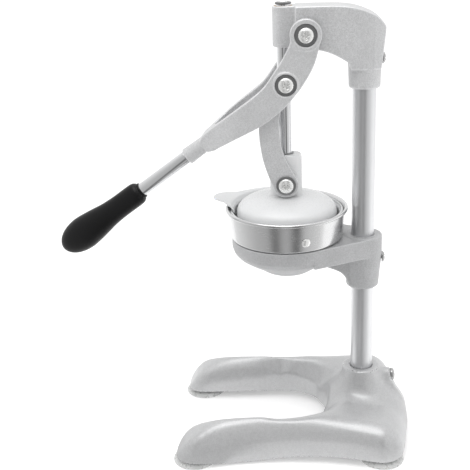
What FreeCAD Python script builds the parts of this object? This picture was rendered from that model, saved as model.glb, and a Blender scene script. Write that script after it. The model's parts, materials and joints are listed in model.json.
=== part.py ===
import FreeCAD, Part
import os
import math
import Sketcher
from FreeCAD import Vector, Placement, Rotation

# Lever citrus juice press, millimetres, +Z up, the handle points to -Y.
# X = 0 is the plane of symmetry of the castings and of the linkage.
# Side profiles are drawn in (Y, Z) measured from the column axis at floor
# height; every piece is then placed by the sheet cell column_y, so that the
# model's origin is the centre of its footprint on the floor.

os.makedirs("parts", exist_ok=True)
doc = FreeCAD.newDocument("CitrusPress")

# ---------------------------------------------------------------- the sheet
CELLS = [
    ("column_y", 143.72, "column axis, from the model's origin"),
    ("rod_offset", 84.0, "column axis to guide rod axis"),
    ("column_radius", 12.5, "steel column, 25 mm tube"),
    ("column_wall", 2.5, "column wall"),
    ("column_foot", 12.0, "column's lower end"),
    ("column_top", 468.0, "column's upper end, inside the head"),
    ("base_ridge", 44.5, "height of the legs' ridge"),
    ("base_floor", 8.0, "underside of the base casting"),
    ("base_wall", 6.0, "wall of the base casting"),
    ("base_hollow", 10.0, "depth of the wide hollow under the base"),
    ("base_round", 15.0, "rounding of the base's upper edges"),
    ("socket_top", 77.0, "top of the column socket"),
    ("socket_radius", 20.5, "outer radius of the column socket"),
    ("foot_half_width", 78.2, "suction cups from the mid-plane"),
    ("foot_front", 191.7, "front cups ahead of the column axis"),
    ("foot_rear", 17.8, "rear cups behind the column axis"),
    ("cup_radius", 24.2, "suction cup lip"),
    ("cup_top", 18.0, "top of the cup's neck"),
    ("cup_neck", 7.0, "neck radius of the cup"),
    ("stud_radius", 3.0, "stud of the suction cup"),
    ("stud_top", 30.0, "stud's upper end"),
    ("bracket_top", 238.8, "seat of the bowl on the bracket"),
    ("bracket_radius", 61.5, "outer radius of the bracket dish"),
    ("bracket_collar", 21.5, "outer radius of the bracket's collar"),
    ("collar_top", 239.8, "top of the bracket's collar"),
    ("collar_foot", 178.0, "foot of the bracket's collar"),
    ("arm_under", 217.0, "lower edge of the bracket arm"),
    ("spout_foot", 198.6, "lower end of the bracket's spout"),
    ("spout_bore", 15.0, "bore of the bracket's spout"),
    ("bowl_rim", 67.6, "outer radius of the rolled rim"),
    ("rim_height", 271.3, "centre height of the rolled rim"),
    ("rim_bead", 1.9, "radius of the rolled bead"),
    ("bowl_sheet", 1.0, "sheet of the bowl"),
    ("bowl_foot", 62.0, "outer radius at the foot of the wall"),
    ("bowl_seat", 239.0, "underside of the bowl's seat"),
    ("outlet_radius", 13.0, "outlet tube of the bowl"),
    ("outlet_foot", 196.8, "lower end of the outlet tube"),
    ("basket_radius", 60.3, "outer radius of the strainer basket"),
    ("basket_top", 270.4, "top of the strainer's ring"),
    ("basket_floor", 240.0, "underside of the strainer floor, on the bowl's ledge"),
    ("basket_wall", 1.8, "wall of the strainer"),
    ("tab_reach", 90.0, "reach of the strainer's tab from its axis"),
    ("tab_foot", 273.6, "underside of the strainer's tab, above the rim"),
    ("cone_radius", 43.0, "foot radius of the reamer cone"),
    ("cone_tip", 275.0, "tip of the reamer cone"),
    ("dome_radius", 55.5, "outer radius of the press cup"),
    ("dome_foot", 261.0, "lower edge of the press cup"),
    ("dome_top", 287.5, "top of the press cup"),
    ("hub_half_thick", 11.0, "half thickness of the hub between the links"),
    ("hub_half_width", 17.4, "half width of the hub seen from the side"),
    ("hub_top", 333.3, "top of the hub"),
    ("rod_radius", 7.5, "guide rod, 15 mm"),
    ("rod_foot", 314.0, "lower end of the guide rod in the hub"),
    ("rod_top", 490.9, "upper end of the guide rod"),
    ("head_half_width", 19.0, "half width of the head casting"),
    ("head_top", 489.5, "flat top of the head"),
    ("boss_foot", 448.0, "lower face of the rod boss"),
    ("boss_radius", 11.6, "outer radius of the rod boss"),
    ("head_collar", 16.6, "outer radius of the head's collar"),
    ("head_collar_foot", 403.0, "lower end of the head's collar"),
    ("bush_radius", 9.4, "outer radius of the guide bush"),
    ("rod_clear", 0.06, "running clearance of the guide rod"),
    ("pivot_clear", 0.05, "running clearance of a pivot"),
    ("lever_pin_y", 61.5, "lever pivot ahead of the column axis"),
    ("lever_pin_z", 462.0, "height of the lever pivot"),
    ("knee_y", 82.5, "lever-to-link pivot ahead of the column axis"),
    ("knee_z", 412.0, "height of the lever-to-link pivot at rest"),
    ("hub_pin_z", 302.0, "height of the link-to-hub pivot at rest"),
    ("pin_radius", 5.0, "lever pivot pin"),
    ("knee_shank", 4.0, "knee screw in the cheek"),
    ("knee_stub", 3.0, "knee screw's end in the link's slot"),
    ("knee_slot", 5.1, "half width of the link's knee slot"),
    ("hub_shoulder", 5.0, "shoulder of the hub screw"),
    ("fork_inner", 19.8, "inner face of a cheek"),
    ("fork_outer", 28.0, "outer face of a cheek"),
    ("fork_boss", 29.5, "outer face of a cheek's bosses"),
    ("lever_boss", 16.5, "boss radius at the lever pivot"),
    ("knee_boss", 13.5, "boss radius at the knee"),
    ("counterbore", 11.8, "counterbore radius of the lever pivot"),
    ("knee_counterbore", 11.4, "counterbore radius of the knee"),
    ("counterbore_deep", 3.0, "depth of the counterbores"),
    ("link_inner", 11.5, "inner face of a link"),
    ("link_thick", 7.6, "thickness of a link"),
    ("link_end", 13.5, "radius of a link's ends"),
    ("screw_head", 8.0, "radius of the pan heads"),
    ("screw_head_high", 4.2, "height of the pan heads"),
    ("handle_drop", 35.32, "handle below the horizontal, degrees"),
    ("handle_rod_radius", 6.0, "handle rod, 12 mm"),
    ("handle_rod_long", 140.0, "length of the handle rod"),
    ("socket_end_y", 191.2, "end of the handle socket ahead of the column"),
    ("socket_end_z", 331.5, "height of the end of the handle socket"),
    ("handle_socket", 9.3, "outer radius of the handle socket"),
    ("grip_start", 63.2, "grip's start from the socket's end"),
    ("grip_long", 115.5, "length of the grip"),
]
sheet = doc.addObject("Spreadsheet::Sheet", "Sizes")
V = {}
for row, (alias, number, note) in enumerate(CELLS, start=1):
    sheet.set("A%d" % row, alias)
    sheet.set("B%d" % row, repr(number))
    sheet.setAlias("B%d" % row, alias)
    sheet.set("C%d" % row, note)
    V[alias] = number
doc.recompute()

KEPT = []          # (node name, object) in the order they are exported


def terms(text):
    """Split a sum such as 'a + b - 2.5' into signed terms."""
    out = []
    sign = 1.0
    for token in str(text).split():
        if token == "+":
            sign = 1.0
        elif token == "-":
            sign = -1.0
        else:
            out.append((sign, token))
            sign = 1.0
    return out


def num(text):
    """Value of a sum of sheet cells and plain numbers."""
    total = 0.0
    for sign, token in terms(text):
        minus = token.startswith("-") and token[1:] in V
        if minus:
            total -= sign * V[token[1:]]
        elif token in V:
            total += sign * V[token]
        else:
            total += sign * float(token)
    return total


def expr(text):
    """The same sum as an expression on the sheet."""
    out = []
    for sign, token in terms(text):
        mark = "-" if sign < 0 else "+"
        if token.startswith("-") and token[1:] in V:
            mark = "+" if mark == "-" else "-"
            token = token[1:]
        if token in V:
            out.append("%s Sizes.%s" % (mark, token))
        else:
            value = float(token)
            if value < 0:
                mark = "+" if mark == "-" else "-"
                value = -value
            out.append("%s %r" % (mark, value))
    text = " ".join(out)
    return text[2:] if text.startswith("+ ") else "0 " + text


def has_cell(text):
    return any(t.lstrip("-") in V for _, t in terms(text))


def plane(body, role):
    for feature in body.Origin.OriginFeatures:
        if feature.Role == role:
            return feature
    raise ValueError(role)


def new_body(name, y="0", z="0", x="0"):
    """A body placed from the column axis; y and z are sums of cells."""
    body = doc.addObject("PartDesign::Body", name)
    body.Placement = Placement(Vector(num(x), V["column_y"] + num(y), num(z)), Rotation())
    body.setExpression("Placement.Base.x", expr(x))
    body.setExpression("Placement.Base.y", "Sizes.column_y " + ("+ " + expr(y)))
    body.setExpression("Placement.Base.z", expr(z))
    return body


def new_sketch(body, name, role, offset=None, offset_expr=None):
    sk = body.newObject("Sketcher::SketchObject", name)
    sk.AttachmentSupport = [(plane(body, role), "")]
    sk.MapMode = "FlatFace"
    if offset is not None:
        sk.AttachmentOffset = Placement(Vector(0, 0, num(offset)), Rotation())
        sk.setExpression("AttachmentOffset.Base.z", expr(offset))
    return sk


def poly(body, name, role, verts, offset=None):
    """Closed polygon, every vertex held by two distances from the origin."""
    sk = new_sketch(body, name, role, offset)
    pts = [Vector(num(a), num(b), 0) for a, b in verts]
    n = len(pts)
    for i in range(n):
        sk.addGeometry(Part.LineSegment(pts[i], pts[(i + 1) % n]), False)
    for i in range(n):
        sk.addConstraint(Sketcher.Constraint("Coincident", i, 2, (i + 1) % n, 1))
    for i, (a, b) in enumerate(verts):
        for kind, text in (("DistanceX", a), ("DistanceY", b)):
            k = sk.addConstraint(Sketcher.Constraint(kind, -1, 1, i, 1, num(text)))
            if has_cell(text):
                label = "%s%d" % ("px" if kind == "DistanceX" else "py", i)
                sk.renameConstraint(k, label)
                sk.setExpression("Constraints." + label, expr(text))
    return sk


def circles(body, name, role, items, offset=None):
    """Circles held by centre and radius; items are (x, y, radius) sums."""
    sk = new_sketch(body, name, role, offset)
    for i, (a, b, r) in enumerate(items):
        sk.addGeometry(Part.Circle(Vector(num(a), num(b), 0), Vector(0, 0, 1), num(r)), False)
        k = sk.addConstraint(Sketcher.Constraint("Radius", i, num(r)))
        if has_cell(r):
            sk.renameConstraint(k, "rad%d" % i)
            sk.setExpression("Constraints.rad%d" % i, expr(r))
        for kind, text in (("DistanceX", a), ("DistanceY", b)):
            k = sk.addConstraint(Sketcher.Constraint(kind, -1, 1, i, 3, num(text)))
            if has_cell(text):
                label = "%s%d" % ("cx" if kind == "DistanceX" else "cy", i)
                sk.renameConstraint(k, label)
                sk.setExpression("Constraints." + label, expr(text))
    return sk


def spline(body, name, role, chains, offset=None):
    """Closed outline of interpolated curves; each chain is a point list and
    the last point of one is the first of the next."""
    sk = new_sketch(body, name, role, offset)
    n = len(chains)
    for chain in chains:
        pts = [Vector(a, b, 0) for a, b in chain]
        if len(pts) == 2:
            sk.addGeometry(Part.LineSegment(pts[0], pts[1]), False)
        else:
            curve = Part.BSplineCurve()
            curve.interpolate(pts)
            sk.addGeometry(curve, False)
    for i in range(n):
        sk.addConstraint(Sketcher.Constraint("Coincident", i, 2, (i + 1) % n, 1))
    return sk


def bind(obj, prop, text):
    setattr(obj, prop, num(text))
    if has_cell(text):
        obj.setExpression(prop, expr(text))


def pad(body, sk, length, midplane=False, reverse=False, name="Pad"):
    p = body.newObject("PartDesign::Pad", name)
    p.Profile = sk
    bind(p, "Length", length)
    if midplane:
        p.SideType = "Symmetric"
    p.Reversed = reverse
    sk.Visibility = False
    return p


def pocket(body, sk, length=None, midplane=False, reverse=False, name="Pocket"):
    before = None
    doc.recompute()
    before = body.Shape.Volume
    p = body.newObject("PartDesign::Pocket", name)
    p.Profile = sk
    if length is None:
        p.Type = "ThroughAll"
    else:
        bind(p, "Length", length)
    if midplane:
        p.SideType = "Symmetric"
    p.Reversed = reverse
    doc.recompute()
    if not body.Shape.Volume < before - 0.01:
        raise RuntimeError("%s of %s cuts nothing" % (name, body.Label))
    return p


def revolve(body, sk, axis, name="Revolution"):
    r = body.newObject("PartDesign::Revolution", name)
    r.Profile = sk
    r.ReferenceAxis = (sk, [axis])
    r.Angle = 360.0
    return r


def polar(body, feature, count, name="PolarPattern", axis_role="Z_Axis"):
    pat = body.newObject("PartDesign::PolarPattern", name)
    pat.Originals = [feature]
    for f in body.Origin.OriginFeatures:
        if f.Role == axis_role:
            pat.Axis = (f, [""])
    pat.Angle = 360.0
    pat.Occurrences = count
    body.Tip = pat
    return pat


def keep(name, obj):
    obj.Label = name
    KEPT.append((name, obj))
    return obj


def mirrored(source, name, normal, base=(0, 0, 0)):
    m = doc.addObject("Part::Mirroring", name)
    m.Source = source
    m.Base = Vector(*base)
    m.Normal = Vector(*normal)
    return m


def compound(name, members):
    c = doc.addObject("Part::Compound", name + "_group")
    c.Links = members
    return keep(name, c)


# ------------------------------------------------------- geometry helpers
def circle_meet(c1, r1, c2, r2, side):
    """One crossing of two circles; side picks it."""
    dx, dy = c2[0] - c1[0], c2[1] - c1[1]
    d = math.hypot(dx, dy)
    a = (r1 * r1 - r2 * r2 + d * d) / (2 * d)
    h = math.sqrt(r1 * r1 - a * a) * side
    mx, my = c1[0] + a * dx / d, c1[1] + a * dy / d
    return (mx - h * dy / d, my + h * dx / d)


def toward(c, q, r):
    """Point at distance r from c on the way to q."""
    d = math.hypot(q[0] - c[0], q[1] - c[1])
    return (c[0] + (q[0] - c[0]) * r / d, c[1] + (q[1] - c[1]) * r / d)


def on_circle(c, r, ang):
    return (c[0] + r * math.cos(ang), c[1] + r * math.sin(ang))


def base_outline(inset):
    """Horseshoe outline, all arcs tangent to each other, moved in by inset.
    Returns a list of (kind, points) for the half x > 0."""
    toe = (V["foot_half_width"] + 0.3, -V["foot_front"] - 0.8)
    heel = (V["foot_half_width"] - 1.2, V["foot_rear"] - 0.8)
    u_c = (0.0, -93.7)
    r_toe, r_heel, r_u, r_side = 24.5 - inset, 25.0 - inset, 57.0 + inset, 370.0 + inset
    side_c = circle_meet(toe, 24.5 + 370.0, heel, 25.0 + 370.0, -1)
    if side_c[0] < 0:
        side_c = circle_meet(toe, 24.5 + 370.0, heel, 25.0 + 370.0, 1)
    # rear edge: a flat arc through (0, 52), tangent to the heel's arc
    top = 52.0
    k = heel[0] ** 2 + heel[1] ** 2
    # (heel.x)^2 + (heel.y - (top - R))^2 = (R - 25)^2
    a = heel[1] - top
    R = (625.0 - heel[0] ** 2 - a * a) / (2 * a + 50.0)
    rear_c = (0.0, top - R)
    r_rear = R - inset
    # tangent line between the inner arc (outside it) and the toe (outside it)
    dx, dy = toe[0] - u_c[0], toe[1] - u_c[1]
    d = math.hypot(dx, dy)
    base_ang = math.atan2(dy, dx)
    swing = math.acos((r_u + r_toe) / d)
    ang = base_ang + swing
    u_t = on_circle(u_c, r_u, ang)
    toe_in = on_circle(toe, r_toe, ang + math.pi)
    toe_out = toward(toe, side_c, r_toe)
    heel_out = toward(heel, side_c, r_heel)
    rear_dir = math.atan2(heel[1] - rear_c[1], heel[0] - rear_c[0])
    heel_rear = on_circle(heel, r_heel, rear_dir)
    rear_mid = (0.0, rear_c[1] + r_rear)
    u_mid = (0.0, u_c[1] + r_u)
    segs = []
    a_half = on_circle(u_c, r_u, (ang + math.pi / 2) / 2)
    segs.append(("arc", u_mid, a_half, u_t))
    segs.append(("line", u_t, toe_in))
    segs.append(("arc", toe_in, on_circle(toe, r_toe, -math.pi / 2), toe_out))
    segs.append(("arc", toe_out, (side_c[0] - r_side, side_c[1]), heel_out))
    h1 = math.atan2(heel_out[1] - heel[1], heel_out[0] - heel[0])
    h2 = rear_dir
    segs.append(("arc", heel_out, on_circle(heel, r_heel, (h1 + h2) / 2), heel_rear))
    half = (rear_dir + math.pi / 2) / 2
    segs.append(("arc", heel_rear, on_circle(rear_c, r_rear, half), rear_mid))
    return segs


def base_sketch(body, name, role, inset, offset):
    segs = base_outline(inset)
    flip = [(s[0],) + tuple((-p[0], p[1]) for p in reversed(s[1:])) for s in reversed(segs)]
    sk = new_sketch(body, name, role, offset)
    full = segs + flip
    for s in full:
        pts = [Vector(p[0], p[1], 0) for p in s[1:]]
        if s[0] == "line":
            sk.addGeometry(Part.LineSegment(pts[0], pts[1]), False)
        else:
            sk.addGeometry(Part.Arc(pts[0], pts[1], pts[2]), False)
    return sk


# ------------------------------------------------------------ base casting
base = new_body("BaseCasting")
sk = base_sketch(base, "Footprint", "XY_Plane", 0.0, "base_floor")
slab = pad(base, sk, "base_ridge - base_floor", name="Slab")
doc.recompute()
edges = []
for i, e in enumerate(base.Shape.Edges, start=1):
    box = e.BoundBox
    if box.ZMin > V["base_ridge"] - 0.01 and box.ZMax < V["base_ridge"] + 0.01:
        edges.append("Edge%d" % i)
rounding = base.newObject("PartDesign::Fillet", "UpperRounding")
rounding.Base = (slab, edges)
bind(rounding, "Radius", "base_round")
doc.recompute()
sk = base_sketch(base, "HollowOutline", "XY_Plane", V["base_wall"], "base_floor")
pocket(base, sk, "base_hollow", reverse=True, name="Hollow")
sk = base_sketch(base, "DeepHollowOutline", "XY_Plane", V["base_wall"] + 9.0, "base_floor + base_hollow")
pocket(base, sk, "13.0", reverse=True, name="DeepHollow")
# the toes slope down to their tips, and the rear edge to the floor
sk = spline(base, "ToeSlope", "YZ_Plane", [
    [(-180.0, 44.7), (-193.0, 41.5), (-203.0, 36.5), (-209.5, 28.0), (-213.5, 20.0), (-216.8, 11.0)],
    [(-216.8, 11.0), (-225.0, 11.0)],
    [(-225.0, 11.0), (-225.0, 60.0)],
    [(-225.0, 60.0), (-180.0, 60.0)],
    [(-180.0, 60.0), (-180.0, 44.7)]])
pocket(base, sk, "260.0", midplane=True, name="ToeSlopeCut")
sk = spline(base, "RearSlope", "YZ_Plane", [
    [(22.0, 44.7), (33.0, 41.0), (41.0, 33.5), (46.8, 23.0), (50.5, 11.0)],
    [(50.5, 11.0), (60.0, 11.0)],
    [(60.0, 11.0), (60.0, 60.0)],
    [(60.0, 60.0), (22.0, 60.0)],
    [(22.0, 60.0), (22.0, 44.7)]])
pocket(base, sk, "260.0", midplane=True, name="RearSlopeCut")
# hump that rises from the slab to the column socket
sk = poly(base, "HumpProfile", "XZ_Plane", [
    ("0", "base_floor + 5.0"), ("socket_radius - 1.0", "base_floor + 5.0"),
    ("socket_radius - 1.0", "34.0"),
    ("36.0", "34.0"), ("36.0", "42.0"), ("34.4", "44.2"),
    ("29.4", "51.6"), ("26.2", "58.5"), ("23.6", "67.0"),
    ("socket_radius + 0.8", "socket_top - 1.6"), ("socket_radius - 0.8", "socket_top"), ("0", "socket_top")])
revolve(base, sk, "V_Axis", name="Hump")
sk = circles(base, "FootBosses", "XY_Plane", [
    ("foot_half_width", "-foot_front", "9.0"), ("-foot_half_width", "-foot_front", "9.0"),
    ("foot_half_width", "foot_rear", "9.0"), ("-foot_half_width", "foot_rear", "9.0")],
    offset="cup_top + 0.4")
pad(base, sk, "21.0", name="FootBossPad")
sk = circles(base, "ScrewBoss", "XZ_Plane", [("0", "62.5", "8.6")])
pad(base, sk, "34.0", reverse=True, name="ScrewBossPad")
sk = circles(base, "StudHoles", "XY_Plane", [
    ("foot_half_width", "-foot_front", "stud_radius"), ("-foot_half_width", "-foot_front", "stud_radius"),
    ("foot_half_width", "foot_rear", "stud_radius"), ("-foot_half_width", "foot_rear", "stud_radius")],
    offset="cup_top")
pocket(base, sk, "stud_top - cup_top", reverse=True, name="StudHolePocket")
sk = circles(base, "ColumnBore", "XY_Plane", [("0", "0", "column_radius")], offset="column_foot")
pocket(base, sk, "100.0", reverse=True, name="ColumnPocket")
sk = circles(base, "SetScrewHole", "XZ_Plane", [("0", "62.5", "4.0")])
pocket(base, sk, "60.0", reverse=False, name="SetScrewPocket")
keep("base_casting", base)

# ------------------------------------------------------------- suction cups
cup = new_body("SuctionCup", y="-foot_front", x="foot_half_width")
sk = poly(cup, "CupProfile", "XZ_Plane", [
    ("cup_radius - 3.4", "0"), ("cup_radius", "0"), ("cup_radius", "1.6"), ("cup_radius - 2.0", "4.6"),
    ("cup_radius - 8.0", "7.0"), ("cup_neck + 3.0", "10.0"), ("cup_neck + 0.8", "13.0"), ("cup_neck", "cup_top - 1.0"),
    ("cup_neck - 1.0", "cup_top"), ("stud_radius", "cup_top"), ("stud_radius", "8.6"), ("0", "8.6"),
    ("0", "6.0"), ("cup_radius - 16.0", "5.0"), ("cup_radius - 7.0", "2.4")])
revolve(cup, sk, "V_Axis")
y_mid = V["column_y"] + (V["foot_rear"] - V["foot_front"]) / 2
cup_b = mirrored(cup, "SuctionCupB", (1, 0, 0))
cup_c = mirrored(cup, "SuctionCupC", (0, 1, 0), (0, y_mid, 0))
cup_d = mirrored(cup_b, "SuctionCupD", (0, 1, 0), (0, y_mid, 0))
compound("suction_cups", [cup, cup_b, cup_c, cup_d])

stud = new_body("CupStud", y="-foot_front", x="foot_half_width")
sk = poly(stud, "StudProfile", "XZ_Plane", [
    ("0", "9.0"), ("stud_radius", "9.0"), ("stud_radius", "stud_top - 1.0"), ("stud_radius - 0.8", "stud_top - 0.2"), ("0", "stud_top - 0.2")])
revolve(stud, sk, "V_Axis")
stud_b = mirrored(stud, "CupStudB", (1, 0, 0))
stud_c = mirrored(stud, "CupStudC", (0, 1, 0), (0, y_mid, 0))
stud_d = mirrored(stud_b, "CupStudD", (0, 1, 0), (0, y_mid, 0))
compound("suction_cup_studs", [stud, stud_b, stud_c, stud_d])

# ------------------------------------------------------------------- column
column = new_body("Column")
sk = circles(column, "ColumnRing", "XY_Plane", [("0", "0", "column_radius"), ("0", "0", "column_radius - column_wall")],
             offset="column_foot")
pad(column, sk, "column_top - column_foot", name="Tube")
keep("column_tube", column)


# ------------------------------------------------------------------- screws
def plus_outline(half, arm):
    """Outline of a cross recess."""
    h, a = half, arm
    return [(a, h), (h, h), (h, a), (-h, a), (-h, h), (-a, h), (-a, -h), (-h, -h), (-h, -a), (h, -a), (h, -h), (a, -h)]


def screw_x(name, y, z, seat, head_r, head_h, steps, recess=True, turn=0.0):
    """Pan head screw along X, seated at x = seat, head outwards.
    steps are (radius, length) of the shank from the seat inwards."""
    body = new_body(name, y=y, z=z)
    verts = [(seat, "0")]
    # outline from the shank's end to the head, in (x, radius)
    run = []
    depth = "0"
    pos = num(seat)
    pts = []
    cur = seat
    for rad, length in steps:
        pts.append((cur, rad))
        cur = cur + " - " + length
        pts.append((cur, rad))
    tip = (cur, "0")
    outline = [tip] + list(reversed(pts))
    outline += [(seat, head_r), (seat + " + " + repr(0.42 * num(head_h)), head_r),
                (seat + " + " + repr(0.74 * num(head_h)), head_r + " - " + repr(0.10 * num(head_r))),
                (seat + " + " + repr(0.93 * num(head_h)), head_r + " - " + repr(0.34 * num(head_r))),
                (seat + " + " + head_h, head_r + " - " + repr(0.66 * num(head_r))),
                (seat + " + " + head_h, "0")]
    sk = poly(body, name + "Profile", "XY_Plane", outline)
    revolve(body, sk, "H_Axis", name=name + "Turned")
    if recess:
        sk = new_sketch(body, name + "Cross", "YZ_Plane", seat + " + " + head_h)
        half, arm = 0.09 * num(head_r), 0.46 * num(head_r)
        c, s = math.cos(turn), math.sin(turn)
        pts = [Vector(a * c - b * s, a * s + b * c, 0) for a, b in plus_outline(half, arm)]
        for i in range(12):
            sk.addGeometry(Part.LineSegment(pts[i], pts[(i + 1) % 12]), False)
        pocket(body, sk, repr(0.55 * num(head_h)), name=name + "Recess")
    return body


def screw_rear(name, z, seat, head_r, head_h, steps):
    """Pan head screw along Y behind the column, seated at y = seat."""
    body = new_body(name, z=z)
    pts = []
    cur = seat
    for rad, length in steps:
        pts.append((rad, cur))
        cur = cur + " - " + length
        pts.append((rad, cur))
    outline = [("0", cur)] + list(reversed(pts))
    outline += [(head_r, seat), (head_r, seat + " + " + repr(0.42 * num(head_h))),
                (head_r + " - " + repr(0.10 * num(head_r)), seat + " + " + repr(0.74 * num(head_h))),
                (head_r + " - " + repr(0.34 * num(head_r)), seat + " + " + repr(0.93 * num(head_h))),
                (head_r + " - " + repr(0.66 * num(head_r)), seat + " + " + head_h),
                ("0", seat + " + " + head_h)]
    sk = poly(body, name + "Profile", "XY_Plane", outline)
    revolve(body, sk, "V_Axis", name=name + "Turned")
    sk = new_sketch(body, name + "Cross", "XZ_Plane")
    sk.AttachmentOffset = Placement(Vector(0, 0, -(num(seat) + num(head_h))), Rotation())
    half, arm = 0.09 * num(head_r), 0.46 * num(head_r)
    pts = [Vector(a, b, 0) for a, b in plus_outline(half, arm)]
    for i in range(12):
        sk.addGeometry(Part.LineSegment(pts[i], pts[(i + 1) % 12]), False)
    pocket(body, sk, repr(0.55 * num(head_h)), reverse=True, name=name + "Recess")
    return body


keep("base_set_screw", screw_rear("BaseSetScrew", "62.5", "34.0", "7.4", "5.4", [("4.0", "21.45")]))
keep("bracket_set_screw", screw_rear("BracketSetScrew", "211.5", "21.5", "6.2", "3.6", [("3.5", "8.95")]))
keep("head_set_screw", screw_rear("HeadSetScrew", "433.5", "18.3", "6.2", "3.6", [("3.5", "5.75")]))

# ------------------------------------------------------------ bowl bracket
bracket = new_body("BowlBracket", y="-rod_offset")
sk = poly(bracket, "DishProfile", "XZ_Plane", [
    ("spout_bore", "spout_foot"), ("spout_bore + 8.5", "spout_foot"), ("spout_bore + 12.0", "spout_foot + 1.6"),
    ("36.5", "206.6"), ("46.5", "212.4"),
    ("bracket_radius - 6.0", "218.4"), ("bracket_radius - 1.6", "224.0"), ("bracket_radius", "230.0"),
    ("bracket_radius", "bracket_top"), ("bracket_radius - 5.5", "bracket_top"),
    ("bracket_radius - 5.5", "231.0"), ("bracket_radius - 11.5", "223.4"),
    ("24.0", "214.4"), ("spout_bore", "211.4")])
revolve(bracket, sk, "V_Axis", name="Dish")
# arm: a web whose sides are tangent to the dish and to the collar
big, small, reach = V["bracket_radius"] - 0.4, V["bracket_collar"] - 0.2, V["rod_offset"]
lean = math.asin((big - small) / reach)
p1 = (big * math.cos(lean), big * math.sin(lean))
p2 = (small * math.cos(lean), reach + small * math.sin(lean))
sk = new_sketch(bracket, "ArmPlan", "XY_Plane", "arm_under")
ring = V["bracket_radius"] - 3.0
q1 = (ring * math.cos(lean), ring * math.sin(lean))
arm_pts = [Vector(q1[0], q1[1], 0), Vector(p1[0], p1[1], 0), Vector(p2[0], p2[1], 0)]
sk.addGeometry(Part.LineSegment(arm_pts[0], arm_pts[1]), False)
sk.addGeometry(Part.LineSegment(arm_pts[1], arm_pts[2]), False)
sk.addGeometry(Part.Arc(arm_pts[2], Vector(0, reach + small, 0), Vector(-p2[0], p2[1], 0)), False)
sk.addGeometry(Part.LineSegment(Vector(-p2[0], p2[1], 0), Vector(-p1[0], p1[1], 0)), False)
sk.addGeometry(Part.LineSegment(Vector(-p1[0], p1[1], 0), Vector(-q1[0], q1[1], 0)), False)
sk.addGeometry(Part.Arc(Vector(-q1[0], q1[1], 0), Vector(0, ring, 0), Vector(q1[0], q1[1], 0)), False)
pad(bracket, sk, "bracket_top - arm_under", name="Arm")
# rib under the arm
sk = spline(bracket, "RibSide", "YZ_Plane", [
    [(38.0, 218.0), (38.0, 207.5)],
    [(38.0, 207.5), (46.0, 203.0), (54.0, 200.0), (60.0, 196.5), (65.0, 190.0), (68.0, 181.5)],
    [(68.0, 181.5), (84.0, 181.5)],
    [(84.0, 181.5), (84.0, 218.0)],
    [(84.0, 218.0), (38.0, 218.0)]])
pad(bracket, sk, "26.0", midplane=True, name="Rib")
sk = poly(bracket, "CollarProfile", "XZ_Plane", [
    ("0", "collar_foot"), ("16.0", "collar_foot"), ("18.0", "collar_foot + 2.0"), ("19.6", "198.0"),
    ("bracket_collar", "arm_under"), ("bracket_collar", "collar_top - 1.5"), ("bracket_collar - 1.5", "collar_top"), ("0", "collar_top")])
sk.AttachmentOffset = Placement(Vector(0, 0, -reach), Rotation())
sk.setExpression("AttachmentOffset.Base.z", "-Sizes.rod_offset")
revolve(bracket, sk, "V_Axis", name="Collar")
sk = circles(bracket, "ColumnHole", "XY_Plane", [("0", "rod_offset", "column_radius")], offset="100.0")
pocket(bracket, sk, "200.0", reverse=True, name="ColumnHolePocket")
sk = circles(bracket, "BracketScrewHole", "XZ_Plane", [("0", "211.5", "3.5")])
sk.AttachmentOffset = Placement(Vector(0, 0, -(reach + 30.0)), Rotation())
pocket(bracket, sk, "28.0", reverse=True, name="BracketScrewPocket")
keep("bowl_bracket", bracket)

# -------------------------------------------------------------- juice bowl
bowl = new_body("JuiceBowl", y="-rod_offset")
sk = poly(bowl, "BowlProfile", "XZ_Plane", [
    ("outlet_radius - bowl_sheet", "outlet_foot"), ("outlet_radius", "outlet_foot"), ("outlet_radius", "223.5"),
    ("outlet_radius + 1.5", "225.0"), ("bowl_foot - 8.0", "bowl_seat - 1.0"), ("bowl_foot - 6.6", "bowl_seat"),
    ("bowl_foot - 1.8", "bowl_seat"), ("bowl_foot", "bowl_seat + 1.8"),
    ("bowl_rim - 2.9", "rim_height - 2.2"), ("bowl_rim - 1.1", "rim_height - rim_bead + 0.2"),
    ("bowl_rim", "rim_height - 0.8"), ("bowl_rim", "rim_height + 0.8"), ("bowl_rim - 1.1", "rim_height + rim_bead - 0.2"),
    ("bowl_rim - 3.0", "rim_height + rim_bead - 0.4"), ("bowl_rim - 3.9", "rim_height"),
    ("bowl_foot - bowl_sheet", "bowl_seat + 3.0"), ("bowl_foot - bowl_sheet - 1.6", "bowl_seat + 1.0"),
    ("bowl_foot - 6.4", "bowl_seat + 1.0"), ("bowl_foot - 7.6", "bowl_seat - 0.1"),
    ("outlet_radius + 1.5", "226.1"), ("outlet_radius - bowl_sheet", "224.6")])
revolve(bowl, sk, "V_Axis", name="Spun")
# two holes for the rivets, opposite each other
ang = math.radians(18.4)
RIVET_Z = 250.9
sk = bowl.newObject("Sketcher::SketchObject", "RivetHoles")
sk.AttachmentSupport = [(plane(bowl, "YZ_Plane"), "")]
sk.MapMode = "FlatFace"
sk.AttachmentOffset = Placement(Vector(0, 0, 0), Rotation(Vector(0, 1, 0), math.degrees(ang)))
sk.addGeometry(Part.Circle(Vector(0, RIVET_Z, 0), Vector(0, 0, 1), 2.6), False)
pocket(bowl, sk, "140.0", midplane=True, name="RivetHoleCut")
keep("juice_bowl", bowl)

# two riveted pins on the bowl's wall, opposite each other
pin = doc.addObject("Part::Cylinder", "RivetShank")
pin.Radius = 2.2
pin.Height = 2.6
pin_head = doc.addObject("Part::Cone", "RivetHead")
pin_head.Radius1 = 4.9
pin_head.Radius2 = 3.3
pin_head.Height = 2.0
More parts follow.
